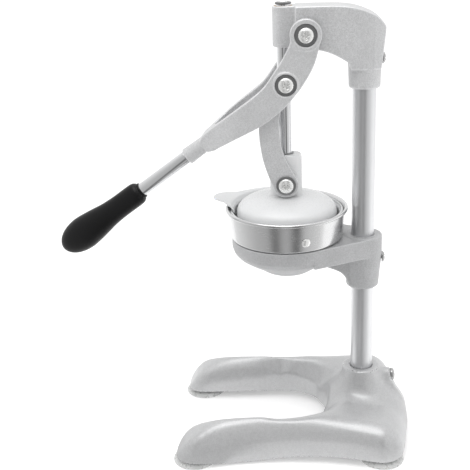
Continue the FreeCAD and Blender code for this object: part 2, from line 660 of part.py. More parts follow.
# the wall leans out, so the rivets point a little down
wall_0 = (V["bowl_foot"], V["bowl_seat"] + 1.8)
wall_1 = (V["bowl_rim"] - 2.9, V["rim_height"] - 2.2)
lean_w = math.atan2(wall_1[0] - wall_0[0], wall_1[1] - wall_0[1])
seat_r = wall_0[0] + (RIVET_Z - wall_0[1]) * math.tan(lean_w)
out_dir = Vector(math.cos(ang) * math.cos(lean_w), math.sin(ang) * math.cos(lean_w), -math.sin(lean_w))
turn = Rotation(Vector(0, 0, 1), out_dir)
seat_at = Vector(math.cos(ang) * seat_r, V["column_y"] - V["rod_offset"] + math.sin(ang) * seat_r, RIVET_Z)
pin.Placement = Placement(seat_at + out_dir * -2.4, turn)
pin_head.Placement = Placement(seat_at + out_dir * 0.06, turn)
rivet = doc.addObject("Part::Fuse", "RivetA")
rivet.Base = pin
rivet.Tool = pin_head
rivet_b = mirrored(rivet, "RivetB", (math.cos(ang), math.sin(ang), 0), (0, V["column_y"] - V["rod_offset"], 0))
compound("bowl_rivets", [rivet, rivet_b])

# --------------------------------------------------------- strainer basket
basket = new_body("StrainerBasket", y="-rod_offset")
sk = poly(basket, "BasketProfile", "XZ_Plane", [
    ("0", "basket_floor"), ("basket_radius - 3.0", "basket_floor"), ("basket_radius - 1.6", "basket_floor + 1.8"),
    ("basket_radius", "basket_top - 4.0"), ("basket_radius + 1.9", "basket_top - 2.2"), ("basket_radius + 2.1", "basket_top - 1.2"),
    ("basket_radius + 1.5", "basket_top - 0.3"), ("basket_radius + 0.6", "basket_top"), ("basket_radius - basket_wall - 0.6", "basket_top - 0.2"),
    ("basket_radius - basket_wall - 1.0", "basket_top - 1.2"),
    ("basket_radius - basket_wall - 1.9", "basket_floor + 3.6"), ("basket_radius - 6.5", "basket_floor + basket_wall"),
    ("0", "basket_floor + basket_wall")])
revolve(basket, sk, "V_Axis", name="Moulded")
# lifting tab, turned 25 degrees to the far side of the front
tab_dir = math.radians(-90.0 - 25.0)
tip_r = 12.5
tip_c = (math.cos(tab_dir) * (V["tab_reach"] - tip_r), math.sin(tab_dir) * (V["tab_reach"] - tip_r))
ring_r = V["basket_radius"] + 1.0
spread = math.acos((ring_r - tip_r) / math.hypot(*tip_c))
ta, tb = tab_dir + spread, tab_dir - spread
ra, rb = on_circle((0, 0), ring_r, ta), on_circle((0, 0), ring_r, tb)
sa, sb = on_circle(tip_c, tip_r, ta), on_circle(tip_c, tip_r, tb)
inner_r = V["basket_radius"] - 2.5
ia, ib = on_circle((0, 0), inner_r, ta), on_circle((0, 0), inner_r, tb)
# the ring rises to the tab, which passes over the bowl's rim
rise_r = V["basket_radius"] + 1.3
wa, wb = on_circle((0, 0), rise_r, ta), on_circle((0, 0), rise_r, tb)
sk = new_sketch(basket, "RisePlan", "XY_Plane", "basket_top - 1.4")
for g in (Part.LineSegment(Vector(ia[0], ia[1], 0), Vector(wa[0], wa[1], 0)),
          Part.Arc(Vector(wa[0], wa[1], 0), Vector(*on_circle((0, 0), rise_r, tab_dir), 0), Vector(wb[0], wb[1], 0)),
          Part.LineSegment(Vector(wb[0], wb[1], 0), Vector(ib[0], ib[1], 0)),
          Part.Arc(Vector(ib[0], ib[1], 0), Vector(*on_circle((0, 0), inner_r, tab_dir), 0), Vector(ia[0], ia[1], 0))):
    sk.addGeometry(g, False)
pad(basket, sk, "tab_foot - basket_top + 2.4", name="Rise")
sk = new_sketch(basket, "TabPlan", "XY_Plane", "tab_foot")
geo = [
    Part.LineSegment(Vector(ia[0], ia[1], 0), Vector(ra[0], ra[1], 0)),
    Part.LineSegment(Vector(ra[0], ra[1], 0), Vector(sa[0], sa[1], 0)),
    Part.Arc(Vector(sa[0], sa[1], 0), Vector(*on_circle(tip_c, tip_r, tab_dir), 0), Vector(sb[0], sb[1], 0)),
    Part.LineSegment(Vector(sb[0], sb[1], 0), Vector(rb[0], rb[1], 0)),
    Part.LineSegment(Vector(rb[0], rb[1], 0), Vector(ib[0], ib[1], 0)),
    Part.Arc(Vector(ib[0], ib[1], 0), Vector(*on_circle((0, 0), inner_r, tab_dir), 0), Vector(ia[0], ia[1], 0)),
]
for g in geo:
    sk.addGeometry(g, False)
pad(basket, sk, "2.6", name="Tab")
doc.recompute()
sk = poly(basket, "SlotPlan", "XY_Plane", [("18.0", "-1.2"), ("50.0", "-1.2"), ("50.0", "1.2"), ("18.0", "1.2")],
          offset="basket_floor - 1.0")
slot = pocket(basket, sk, "4.0", reverse=True, name="Slot")
polar(basket, slot, 24, name="Slots")
keep("strainer_basket", basket)

# ------------------------------------------------------------- reamer cone
cone_foot = "basket_floor + basket_wall"
cone = new_body("ReamerCone", y="-rod_offset")
sk = poly(cone, "ConeProfile", "XZ_Plane", [
    ("0", cone_foot), ("cone_radius", cone_foot), ("cone_radius", cone_foot + " + 1.4"),
    ("34.0", cone_foot + " + 7.6"), ("22.0", cone_foot + " + 17.0"), ("10.0", "cone_tip - 5.0"), ("4.0", "cone_tip - 1.0"), ("0", "cone_tip")])
revolve(cone, sk, "V_Axis", name="Turned")
sk = poly(cone, "RibProfile", "XZ_Plane", [
    ("3.0", "cone_tip - 2.0"), ("10.0", "cone_tip - 3.6"), ("22.0", cone_foot + " + 20.4"), ("34.0", cone_foot + " + 10.8"), ("41.5", cone_foot + " + 2.6"),
    ("41.5", cone_foot + " + 0.4"), ("3.0", cone_foot + " + 0.4")])
rib = pad(cone, sk, "2.4", midplane=True, name="Rib")
doc.recompute()
polar(cone, rib, 10, name="Ribs")
keep("reamer_cone", cone)

# ------------------------------------------------------------ head casting
head = new_body("HeadCasting")
sk = spline(head, "HeadSide", "YZ_Plane", [
    [(-72.0, 489.5), (-72.0, 447.8)],
    [(-72.0, 447.8), (-48.0, 445.2), (-38.5, 442.6), (-28.5, 438.0), (-17.8, 431.4)],
    [(-17.8, 431.4), (-15.0, 424.0)],
    [(-15.0, 424.0), (16.2, 424.0)],
    [(16.2, 424.0), (18.2, 442.0), (19.8, 456.0), (20.8, 466.0)],
    [(20.8, 466.0), (16.6, 472.4), (9.6, 478.4), (1.2, 482.6), (-9.0, 486.2), (-23.0, 488.6), (-40.0, 489.4)],
    [(-40.0, 489.4), (-72.0, 489.5)]])
pad(head, sk, "head_half_width + head_half_width", midplane=True, name="Arm")
# shoulders in plan: the arm narrows to the rod boss in front
sk = new_sketch(head, "BossBridge", "XY_Plane", "boss_foot")
rb_ = V["boss_radius"]
sk.addGeometry(Part.LineSegment(Vector(rb_, -71.0, 0), Vector(rb_, -84.0, 0)), False)
sk.addGeometry(Part.Arc(Vector(rb_, -84.0, 0), Vector(0, -84.0 - rb_, 0), Vector(-rb_, -84.0, 0)), False)
sk.addGeometry(Part.LineSegment(Vector(-rb_, -84.0, 0), Vector(-rb_, -71.0, 0)), False)
sk.addGeometry(Part.LineSegment(Vector(-rb_, -71.0, 0), Vector(rb_, -71.0, 0)), False)
pad(head, sk, "head_top - boss_foot", name="RodBoss")
sk = poly(head, "HeadCollarProfile", "XZ_Plane", [
    ("0", "head_collar_foot"), ("head_collar - 1.2", "head_collar_foot"), ("head_collar", "head_collar_foot + 1.2"),
    ("head_collar + 0.9", "432.0"), ("head_collar + 0.9", "446.0"), ("0", "446.0")])
revolve(head, sk, "V_Axis", name="HeadCollar")
# the top of the head narrows a little towards its rear corners
for side in (1, -1):
    sk = new_sketch(head, "RearTrim%s" % ("A" if side > 0 else "B"), "XY_Plane", "400.0")
    x0 = V["head_half_width"]
    pts = [Vector(side * (x0 + 1.0), -8.0, 0), Vector(side * (x0 + 1.0), 26.0, 0), Vector(side * 9.0, 26.0, 0),
           Vector(side * 14.0, 18.6, 0), Vector(side * 17.8, 9.0, 0), Vector(side * x0, -8.0, 0)]
    for i in range(6):
        sk.addGeometry(Part.LineSegment(pts[i], pts[(i + 1) % 6]), False)
    pocket(head, sk, "120.0", reverse=True, name="RearTrimCut%s" % ("A" if side > 0 else "B"))
sk = circles(head, "HeadColumnHole", "XY_Plane", [("0", "0", "column_radius")], offset="head_collar_foot - 1.0")
pocket(head, sk, "column_top - head_collar_foot + 1.0", reverse=True, name="HeadColumnPocket")
sk = circles(head, "BushHole", "XY_Plane", [("0", "-rod_offset", "bush_radius")], offset="boss_foot - 1.0")
pocket(head, sk, "head_top - boss_foot + 2.0", reverse=True, name="BushPocket")
sk = circles(head, "PinHole", "YZ_Plane", [("-lever_pin_y", "lever_pin_z", "pin_radius")])
pocket(head, sk, "60.0", midplane=True, name="PinPocket")
sk = circles(head, "HeadScrewHole", "XZ_Plane", [("0", "433.5", "3.5")])
pocket(head, sk, "30.0", reverse=False, name="HeadScrewPocket")
keep("head_casting", head)

bush = new_body("GuideBush", y="-rod_offset")
sk = circles(bush, "BushRing", "XY_Plane", [("0", "0", "bush_radius"), ("0", "0", "rod_radius + rod_clear")], offset="boss_foot")
pad(bush, sk, "head_top - boss_foot - 0.2", name="BushTube")
keep("head_guide_bush", bush)

# ------------------------------------------------- lever pivot in the head
pin_body = new_body("LeverPivotPin", y="-lever_pin_y", z="lever_pin_z")
sk = circles(pin_body, "PinCircle", "YZ_Plane", [("0", "0", "pin_radius")])
pad(pin_body, sk, "fork_boss + fork_boss - counterbore_deep - counterbore_deep", midplane=True, name="Bar")
for side in (1, -1):
    sk = circles(pin_body, "PinThread%s" % ("A" if side > 0 else "B"), "YZ_Plane", [("0", "0", "3.0")],
                 offset=("fork_boss - counterbore_deep" if side > 0 else "counterbore_deep - fork_boss"))
    pocket(pin_body, sk, "12.0", reverse=side < 0, name="PinThreadHole%s" % ("A" if side > 0 else "B"))
keep("lever_pivot_pin", pin_body)


def washer_pair(node, name, y, z, inner, thick, outer, bore):
    body = new_body(name, y=y, z=z)
    sk = circles(body, name + "Ring", "YZ_Plane", [("0", "0", outer), ("0", "0", bore)], offset=inner)
    pad(body, sk, thick, name=name + "Plate")
    other = mirrored(body, name + "Far", (1, 0, 0))
    return compound(node, [body, other])


washer_pair("lever_pivot_washers", "PivotWasher", "-lever_pin_y", "lever_pin_z", "fork_boss - counterbore_deep + 0.3", "1.5", "counterbore - 0.4", "3.0")
s_a = screw_x("PivotScrew", "-lever_pin_y", "lever_pin_z", "fork_boss - counterbore_deep + 1.8", "screw_head", "screw_head_high",
              [("3.0", "11.0")], turn=0.1)
compound("lever_pivot_screws", [s_a, mirrored(s_a, "PivotScrewFar", (1, 0, 0))])

# -------------------------------------------------------------- lever fork
fork = new_body("LeverFork")
sk = spline(fork, "CheekSide", "YZ_Plane", [
    [(-77.6, 459.0), (-79.0, 450.6), (-81.6, 445.6), (-86.0, 437.4), (-91.6, 428.9), (-97.0, 421.0), (-104.4, 410.8),
     (-117.5, 399.3), (-133.0, 388.0), (-147.0, 377.4), (-160.0, 367.0), (-171.5, 357.6)],
    [(-171.5, 357.6), (-176.8, 350.2)],
    [(-176.8, 350.2), (-168.4, 338.2)],
    [(-168.4, 338.2), (-160.0, 341.0)],
    [(-160.0, 341.0), (-142.1, 352.0), (-127.0, 360.2), (-111.5, 368.0), (-98.0, 376.8), (-89.7, 383.4), (-83.2, 389.0),
     (-76.6, 396.6), (-68.7, 405.9), (-61.9, 415.8), (-54.1, 430.0), (-49.7, 443.0), (-46.8, 456.0)],
    [(-46.8, 456.0), (-61.5, 470.0)],
    [(-61.5, 470.0), (-77.6, 459.0)]])
pad(fork, sk, "fork_outer + fork_outer", midplane=True, name="Cheeks")
sk = circles(fork, "LeverBosses", "YZ_Plane", [("-lever_pin_y", "lever_pin_z", "lever_boss")])
pad(fork, sk, "fork_boss + fork_boss", midplane=True, name="LeverBossPad")
sk = circles(fork, "KneeBosses", "YZ_Plane", [("-knee_y", "knee_z", "knee_boss")])
pad(fork, sk, "fork_boss + fork_boss", midplane=True, name="KneeBossPad")
# the space between the cheeks
sk = new_sketch(fork, "ForkGap", "XY_Plane", "300.0")
gap = V["fork_inner"]
chain = [Vector(gap, -30.0, 0), Vector(-gap, -30.0, 0), Vector(-gap, -128.0, 0)]
sk.addGeometry(Part.LineSegment(chain[0], chain[1]), False)
sk.addGeometry(Part.LineSegment(chain[1], chain[2]), False)
curve = Part.BSplineCurve()
curve.interpolate([Vector(-gap, -128.0, 0), Vector(-16.6, -142.0, 0), Vector(-9.0, -154.0, 0), Vector(0, -159.0, 0),
                   Vector(9.0, -154.0, 0), Vector(16.6, -142.0, 0), Vector(gap, -128.0, 0)])
sk.addGeometry(curve, False)
sk.addGeometry(Part.LineSegment(Vector(gap, -128.0, 0), chain[0]), False)
pocket(fork, sk, "250.0", reverse=True, name="ForkGapCut")
# the cheeks' outer faces draw in towards the handle socket
for side in (1, -1):
    tag = "A" if side > 0 else "B"
    sk = new_sketch(fork, "CheekTrim" + tag, "XY_Plane", "300.0")
    curve = Part.BSplineCurve()
    curve.interpolate([Vector(side * 28.2, -118.0, 0), Vector(side * 27.0, -130.0, 0), Vector(side * 22.5, -145.0, 0),
                       Vector(side * 15.0, -160.0, 0), Vector(side * 9.2, -175.0, 0), Vector(side * 9.2, -182.0, 0)])
    sk.addGeometry(curve, False)
    sk.addGeometry(Part.LineSegment(Vector(side * 9.2, -182.0, 0), Vector(side * 32.0, -182.0, 0)), False)
    sk.addGeometry(Part.LineSegment(Vector(side * 32.0, -182.0, 0), Vector(side * 32.0, -118.0, 0)), False)
    sk.addGeometry(Part.LineSegment(Vector(side * 32.0, -118.0, 0), Vector(side * 28.2, -118.0, 0)), False)
    pocket(fork, sk, "250.0", reverse=True, name="CheekTrimCut" + tag)
for side in (1, -1):
    tag = "A" if side > 0 else "B"
    face = "fork_boss" if side > 0 else "-fork_boss"
    sk = circles(fork, "Counterbores" + tag, "YZ_Plane", [("-lever_pin_y", "lever_pin_z", "counterbore"),
                                                         ("-knee_y", "knee_z", "knee_counterbore")], offset=face)
    pocket(fork, sk, "counterbore_deep", reverse=side < 0, name="CounterboreCut" + tag)
sk = circles(fork, "PivotBores", "YZ_Plane", [("-lever_pin_y", "lever_pin_z", "pin_radius + pivot_clear"),
                                             ("-knee_y", "knee_z", "knee_shank")])
pocket(fork, sk, "80.0", midplane=True, name="PivotBoreCut")

drop = math.radians(V["handle_drop"])
along = Vector(0, -math.cos(drop), -math.sin(drop))
end = Vector(0, V["column_y"] - V["socket_end_y"], V["socket_end_z"])
aim = Rotation(Vector(0, 0, 1), along)


def bar(kind, name, start, length, r1, r2=None):
    """Cylinder or cone along the handle, start measured from the socket's end."""
    b = doc.addObject(kind, name)
    b.Placement = Placement(end + along * start, aim)
    if kind == "Part::Cylinder":
        bind(b, "Radius", r1)
    else:
        bind(b, "Radius1", r1)
        bind(b, "Radius2", r2)
    bind(b, "Height", length)
    return b


socket = bar("Part::Cone", "HandleSocket", -30.0, "30.0", "handle_socket - 1.0", "handle_socket")
fused = doc.addObject("Part::Fuse", "ForkAndSocket")
fused.Base = fork
fused.Tool = socket
rod_hole = bar("Part::Cylinder", "HandleRodHole", -22.0, "30.0", "handle_rod_radius")
lever = doc.addObject("Part::Cut", "LeverForkCasting")
lever.Base = fused
lever.Tool = rod_hole
keep("lever_fork", lever)

handle_rod = bar("Part::Cylinder", "HandleRod", -22.0, "handle_rod_long", "handle_rod_radius")
keep("handle_rod", handle_rod)

# ------------------------------------------------------------------- grip
grip = doc.addObject("PartDesign::Body", "HandleGrip")
grip.Placement = Placement(end + along * V["grip_start"], aim)
sk = poly(grip, "GripProfile", "XZ_Plane", [
    ("0", "0"), ("8.8", "0"), ("9.7", "0.8"), ("9.7", "2.4"), ("10.6", "3.4"), ("12.3", "6.4"),
    ("12.9", "12.0"), ("12.9", "24.0"), ("13.1", "36.0"), ("13.9", "48.0"), ("15.4", "58.0"),
    ("17.2", "70.0"), ("18.5", "82.0"), ("18.4", "89.0"), ("17.2", "96.5"), ("14.9", "103.5"),
    ("11.3", "109.5"), ("6.6", "113.8"), ("3.0", "grip_long - 0.3"), ("0", "grip_long")])
revolve(grip, sk, "V_Axis", name="GripTurned")
sk = circles(grip, "GripBore", "XY_Plane", [("0", "0", "handle_rod_radius")])
pocket(grip, sk, "handle_rod_long - 22.0 - grip_start", reverse=True, name="GripBoreCut")
keep("handle_grip", grip)

# ----------------------------------------------------------- knee fasteners
washer_pair("knee_pivot_washers", "KneeWasher", "-knee_y", "knee_z", "fork_boss - counterbore_deep", "1.8", "knee_counterbore - 0.35", "knee_shank")
s_b = screw_x("KneeScrew", "-knee_y", "knee_z", "fork_boss - counterbore_deep + 1.8", "screw_head", "screw_head_high",
              [("knee_shank", "8.5"), ("knee_stub", "7.5")], turn=0.5)
compound("knee_pivot_screws", [s_b, mirrored(s_b, "KneeScrewFar", (1, 0, 0))])


# -------------------------------------------------------------------- links
def link(node, side):
    tag = "Left" if side > 0 else "Right"
    inner = "link_inner" if side > 0 else "-link_inner"
    body = new_body("Link" + tag)
    sk = spline(body, "LinkSide" + tag, "YZ_Plane", [
        [(-95.2, 416.0), (-99.4, 406.0), (-104.6, 393.0), (-109.4, 379.0), (-111.6, 366.0), (-111.6, 356.0), (-110.4, 344.0),
         (-108.2, 331.0), (-104.4, 317.6), (-97.0, 298.6)],
        [(-97.0, 298.6), (-84.0, 296.0)],
        [(-84.0, 296.0), (-72.6, 309.2)],
        [(-72.6, 309.2), (-77.2, 317.4), (-82.2, 327.2), (-86.6, 338.0), (-89.2, 348.8), (-90.2, 362.0), (-89.6, 377.0), (-86.4, 388.0),
         (-80.4, 396.0), (-71.4, 404.4)],
        [(-71.4, 404.4), (-82.5, 418.0)],
        [(-82.5, 418.0), (-95.2, 416.0)]], offset=inner)
    pad(body, sk, "link_thick", reverse=side < 0, name="Strap" + tag)
    sk = circles(body, "KneeEnd" + tag, "YZ_Plane", [("-knee_y", "knee_z", "link_end")], offset=inner)
    pad(body, sk, "link_thick", reverse=side < 0, name="KneeEndPad" + tag)
    sk = circles(body, "HubEnd" + tag, "YZ_Plane", [("-rod_offset", "hub_pin_z", "link_end")], offset=inner)
    pad(body, sk, "link_thick", reverse=side < 0, name="HubEndPad" + tag)
    sk = circles(body, "HubBore" + tag, "YZ_Plane", [("-rod_offset", "hub_pin_z", "hub_shoulder + pivot_clear")], offset=inner)
    pocket(body, sk, "link_thick + 1.0", reverse=side > 0, name="HubBoreCut" + tag)
    # slot for the knee screw's end
    s0, s1 = (-82.5 + 0.1, 412.0 - 0.2), (-82.5 - 8.1, 412.0 - 5.0)
    r = V["knee_slot"]
    d = math.hypot(s1[0] - s0[0], s1[1] - s0[1])
    ux, uy = (s1[0] - s0[0]) / d, (s1[1] - s0[1]) / d
    sk = new_sketch(body, "KneeSlot" + tag, "YZ_Plane", inner)
    a1 = Vector(s0[0] - uy * r, s0[1] + ux * r, 0)
    a2 = Vector(s0[0] + uy * r, s0[1] - ux * r, 0)
    b1 = Vector(s1[0] - uy * r, s1[1] + ux * r, 0)
    b2 = Vector(s1[0] + uy * r, s1[1] - ux * r, 0)
    sk.addGeometry(Part.Arc(a1, Vector(s0[0] - ux * r, s0[1] - uy * r, 0), a2), False)
    sk.addGeometry(Part.LineSegment(a2, b2), False)
    sk.addGeometry(Part.Arc(b2, Vector(s1[0] + ux * r, s1[1] + uy * r, 0), b1), False)
    sk.addGeometry(Part.LineSegment(b1, a1), False)
    pocket(body, sk, "link_thick + 1.0", reverse=side > 0, name="KneeSlotCut" + tag)
    keep(node, body)


link("link_right", 1)
link("link_left", -1)

# ---------------------------------------------------------- plunger pieces
plunger = new_body("PressCup", y="-rod_offset")
sk = poly(plunger, "CupProfileOuter", "XZ_Plane", [
    ("0", "dome_top - 4.2"), ("13.0", "dome_top - 4.3"), ("23.5", "dome_top - 5.0"), ("33.5", "dome_top - 6.9"), ("41.5", "dome_top - 9.8"),
    ("46.3", "dome_top - 12.9"), ("49.6", "dome_top - 17.2"), ("51.2", "dome_foot + 4.6"),
    ("dome_radius - 3.6", "dome_foot"), ("dome_radius - 0.6", "dome_foot"), ("dome_radius", "dome_foot + 0.8"),
    ("dome_radius", "dome_foot + 4.4"), ("55.2", "dome_top - 17.8"), ("54.0", "dome_top - 14.4"), ("52.2", "dome_top - 11.8"),
    ("50.0", "dome_top - 9.8"), ("44.0", "dome_top - 6.0"), ("35.0", "dome_top - 3.0"),
    ("24.0", "dome_top - 0.9"), ("14.0", "dome_top"), ("0", "dome_top")])
revolve(plunger, sk, "V_Axis", name="Dome")
# hub: a flattened block with rounded ends
hw, ht = V["hub_half_width"], V["hub_half_thick"]
sk = new_sketch(plunger, "HubPlan", "XY_Plane", "dome_top - 3.0")
cr = 7.0
sk.addGeometry(Part.LineSegment(Vector(ht - cr, -hw, 0), Vector(-(ht - cr), -hw, 0)), False)
sk.addGeometry(Part.Arc(Vector(-(ht - cr), -hw, 0), Vector(-ht + cr - cr * math.sqrt(0.5), -hw + cr - cr * math.sqrt(0.5), 0), Vector(-ht, -hw + cr, 0)), False)
sk.addGeometry(Part.LineSegment(Vector(-ht, -hw + cr, 0), Vector(-ht, hw - cr, 0)), False)
sk.addGeometry(Part.Arc(Vector(-ht, hw - cr, 0), Vector(-ht + cr - cr * math.sqrt(0.5), hw - cr + cr * math.sqrt(0.5), 0), Vector(-ht + cr, hw, 0)), False)
sk.addGeometry(Part.LineSegment(Vector(-ht + cr, hw, 0), Vector(ht - cr, hw, 0)), False)
sk.addGeometry(Part.Arc(Vector(ht - cr, hw, 0), Vector(ht - cr + cr * math.sqrt(0.5), hw - cr + cr * math.sqrt(0.5), 0), Vector(ht, hw - cr, 0)), False)
sk.addGeometry(Part.LineSegment(Vector(ht, hw - cr, 0), Vector(ht, -hw + cr, 0)), False)
sk.addGeometry(Part.Arc(Vector(ht, -hw + cr, 0), Vector(ht - cr + cr * math.sqrt(0.5), -hw + cr - cr * math.sqrt(0.5), 0), Vector(ht - cr, -hw, 0)), False)
pad(plunger, sk, "hub_top - dome_top + 3.0", name="Hub")
sk = circles(plunger, "RodHole", "XY_Plane", [("0", "0", "rod_radius")], offset="rod_foot")
pocket(plunger, sk, "hub_top - rod_foot + 1.0", reverse=True, name="RodHolePocket")
sk = circles(plunger, "InsertHole", "YZ_Plane", [("0", "hub_pin_z", "4.6")], offset="hub_half_thick")
pocket(plunger, sk, "9.0", name="InsertPocketA")
sk = circles(plunger, "InsertHoleFar", "YZ_Plane", [("0", "hub_pin_z", "4.6")], offset="-hub_half_thick")
pocket(plunger, sk, "9.0", reverse=True, name="InsertPocketB")
keep("press_cup", plunger)

rod = new_body("GuideRod", y="-rod_offset")
sk = circles(rod, "RodCircle", "XY_Plane", [("0", "0", "rod_radius")], offset="rod_foot")
pad(rod, sk, "rod_top - rod_foot", name="RodBar")
sk = circles(rod, "RodThread", "XY_Plane", [("0", "0", "2.5")], offset="rod_top")
pocket(rod, sk, "12.0", name="RodThreadHole")
keep("guide_rod", rod)

ring = new_body("RodSeatRing", y="-rod_offset")
sk = circles(ring, "SeatRingPlan", "XY_Plane", [("0", "0", "rod_radius + 1.3"), ("0", "0", "rod_radius")], offset="hub_top")
pad(ring, sk, "1.2", name="SeatRingPlate")
keep("rod_seat_ring", ring)

stop = new_body("RodStopWasher", y="-rod_offset")
sk = circles(stop, "StopPlan", "XY_Plane", [("0", "0", "rod_radius + 0.9"), ("0", "0", "2.5")], offset="rod_top")
pad(stop, sk, "1.8", name="StopPlate")
keep("rod_stop_washer", stop)

# countersunk-free low head screw that holds the stop washer
top = new_body("RodStopScrew", y="-rod_offset")
sk = poly(top, "TopScrewProfile", "XZ_Plane", [
    ("0", "rod_top - 11.0"), ("2.5", "rod_top - 11.0"), ("2.5", "rod_top + 1.8"), ("4.6", "rod_top + 1.8"), ("4.6", "rod_top + 2.6"),
    ("3.6", "rod_top + 3.6"), ("0", "rod_top + 3.9")])
revolve(top, sk, "V_Axis", name="TopScrewTurned")
sk = new_sketch(top, "TopScrewCross", "XY_Plane", "rod_top + 4.0")
pts = [Vector(a, b, 0) for a, b in plus_outline(0.45, 2.3)]
for i in range(12):
    sk.addGeometry(Part.LineSegment(pts[i], pts[(i + 1) % 12]), False)
pocket(top, sk, "1.5", name="TopScrewRecess")
keep("rod_stop_screw", top)

insert = new_body("HubInsert", y="-rod_offset", z="hub_pin_z")
sk = circles(insert, "InsertRing", "YZ_Plane", [("0", "0", "4.6"), ("0", "0", "3.0")], offset="hub_half_thick - 9.0")
pad(insert, sk, "9.0", name="InsertTube")
compound("hub_screw_inserts", [insert, mirrored(insert, "HubInsertFar", (1, 0, 0))])
washer_pair("hub_pivot_washers", "HubWasher", "-rod_offset", "hub_pin_z", "link_inner + link_thick + 0.3", "1.2", "10.6", "3.0")
s_c = screw_x("HubScrew", "-rod_offset", "hub_pin_z", "link_inner + link_thick + 1.5", "screw_head - 0.1", "screw_head_high",
              [("3.0", "1.5"), ("hub_shoulder", "8.1"), ("3.0", "8.4")], turn=0.75)
compound("hub_pivot_screws", [s_c, mirrored(s_c, "HubScrewFar", (1, 0, 0))])

# ---------------------------------------------------------------- checking
doc.recompute()
bad = []
for obj in doc.Objects:
    if "Invalid" in obj.State or "Error" in obj.State:
        bad.append("%s %s" % (obj.Label, obj.State))
for name, obj in KEPT:
    shape = obj.Shape
    if shape.isNull() or not shape.isValid() or not shape.Solids:
        bad.append("%s: shape null, invalid or without a solid" % name)
if bad:
    raise RuntimeError("; ".join(bad))
for name, obj in KEPT:
    obj.Shape.exportStep("parts/%s.step" % name)
    box = obj.Shape.BoundBox
    print("%-22s solids %d volume %9.1f  x %.1f..%.1f  y %.1f..%.1f  z %.1f..%.1f" % (
        name, len(obj.Shape.Solids), obj.Shape.Volume, box.XMin, box.XMax, box.YMin, box.YMax, box.ZMin, box.ZMax))
whole = FreeCAD.BoundBox()
for name, obj in KEPT:
    whole.add(obj.Shape.BoundBox)
print("whole x %.2f..%.2f y %.2f..%.2f z %.2f..%.2f nodes %d" % (
    whole.XMin, whole.XMax, whole.YMin, whole.YMax, whole.ZMin, whole.ZMax, len(KEPT)))
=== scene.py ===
"""Lever citrus juice press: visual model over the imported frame.

All shapes are written in millimetres with y measured from the column axis,
and turned into the row frame in metres by make()."""
import json
import math
import bpy
import numpy as np
from mathutils import Matrix, Vector


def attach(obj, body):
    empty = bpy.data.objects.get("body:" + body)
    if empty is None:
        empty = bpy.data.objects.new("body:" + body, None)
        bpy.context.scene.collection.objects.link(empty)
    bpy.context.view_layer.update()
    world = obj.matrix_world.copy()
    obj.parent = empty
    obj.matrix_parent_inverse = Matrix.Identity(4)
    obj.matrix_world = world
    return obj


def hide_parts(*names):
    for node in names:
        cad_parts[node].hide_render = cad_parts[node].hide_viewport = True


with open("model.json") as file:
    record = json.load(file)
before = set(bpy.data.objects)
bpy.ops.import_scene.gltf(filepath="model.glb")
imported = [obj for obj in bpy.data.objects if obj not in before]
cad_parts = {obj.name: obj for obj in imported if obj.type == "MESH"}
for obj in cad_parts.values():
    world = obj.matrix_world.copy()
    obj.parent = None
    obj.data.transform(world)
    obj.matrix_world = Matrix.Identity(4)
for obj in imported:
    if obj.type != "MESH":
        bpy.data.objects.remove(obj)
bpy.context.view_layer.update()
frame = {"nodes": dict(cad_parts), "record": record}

COLY = 143.72
ROD_Y = -84.0
scene = bpy.context.scene
nodes = frame["nodes"]


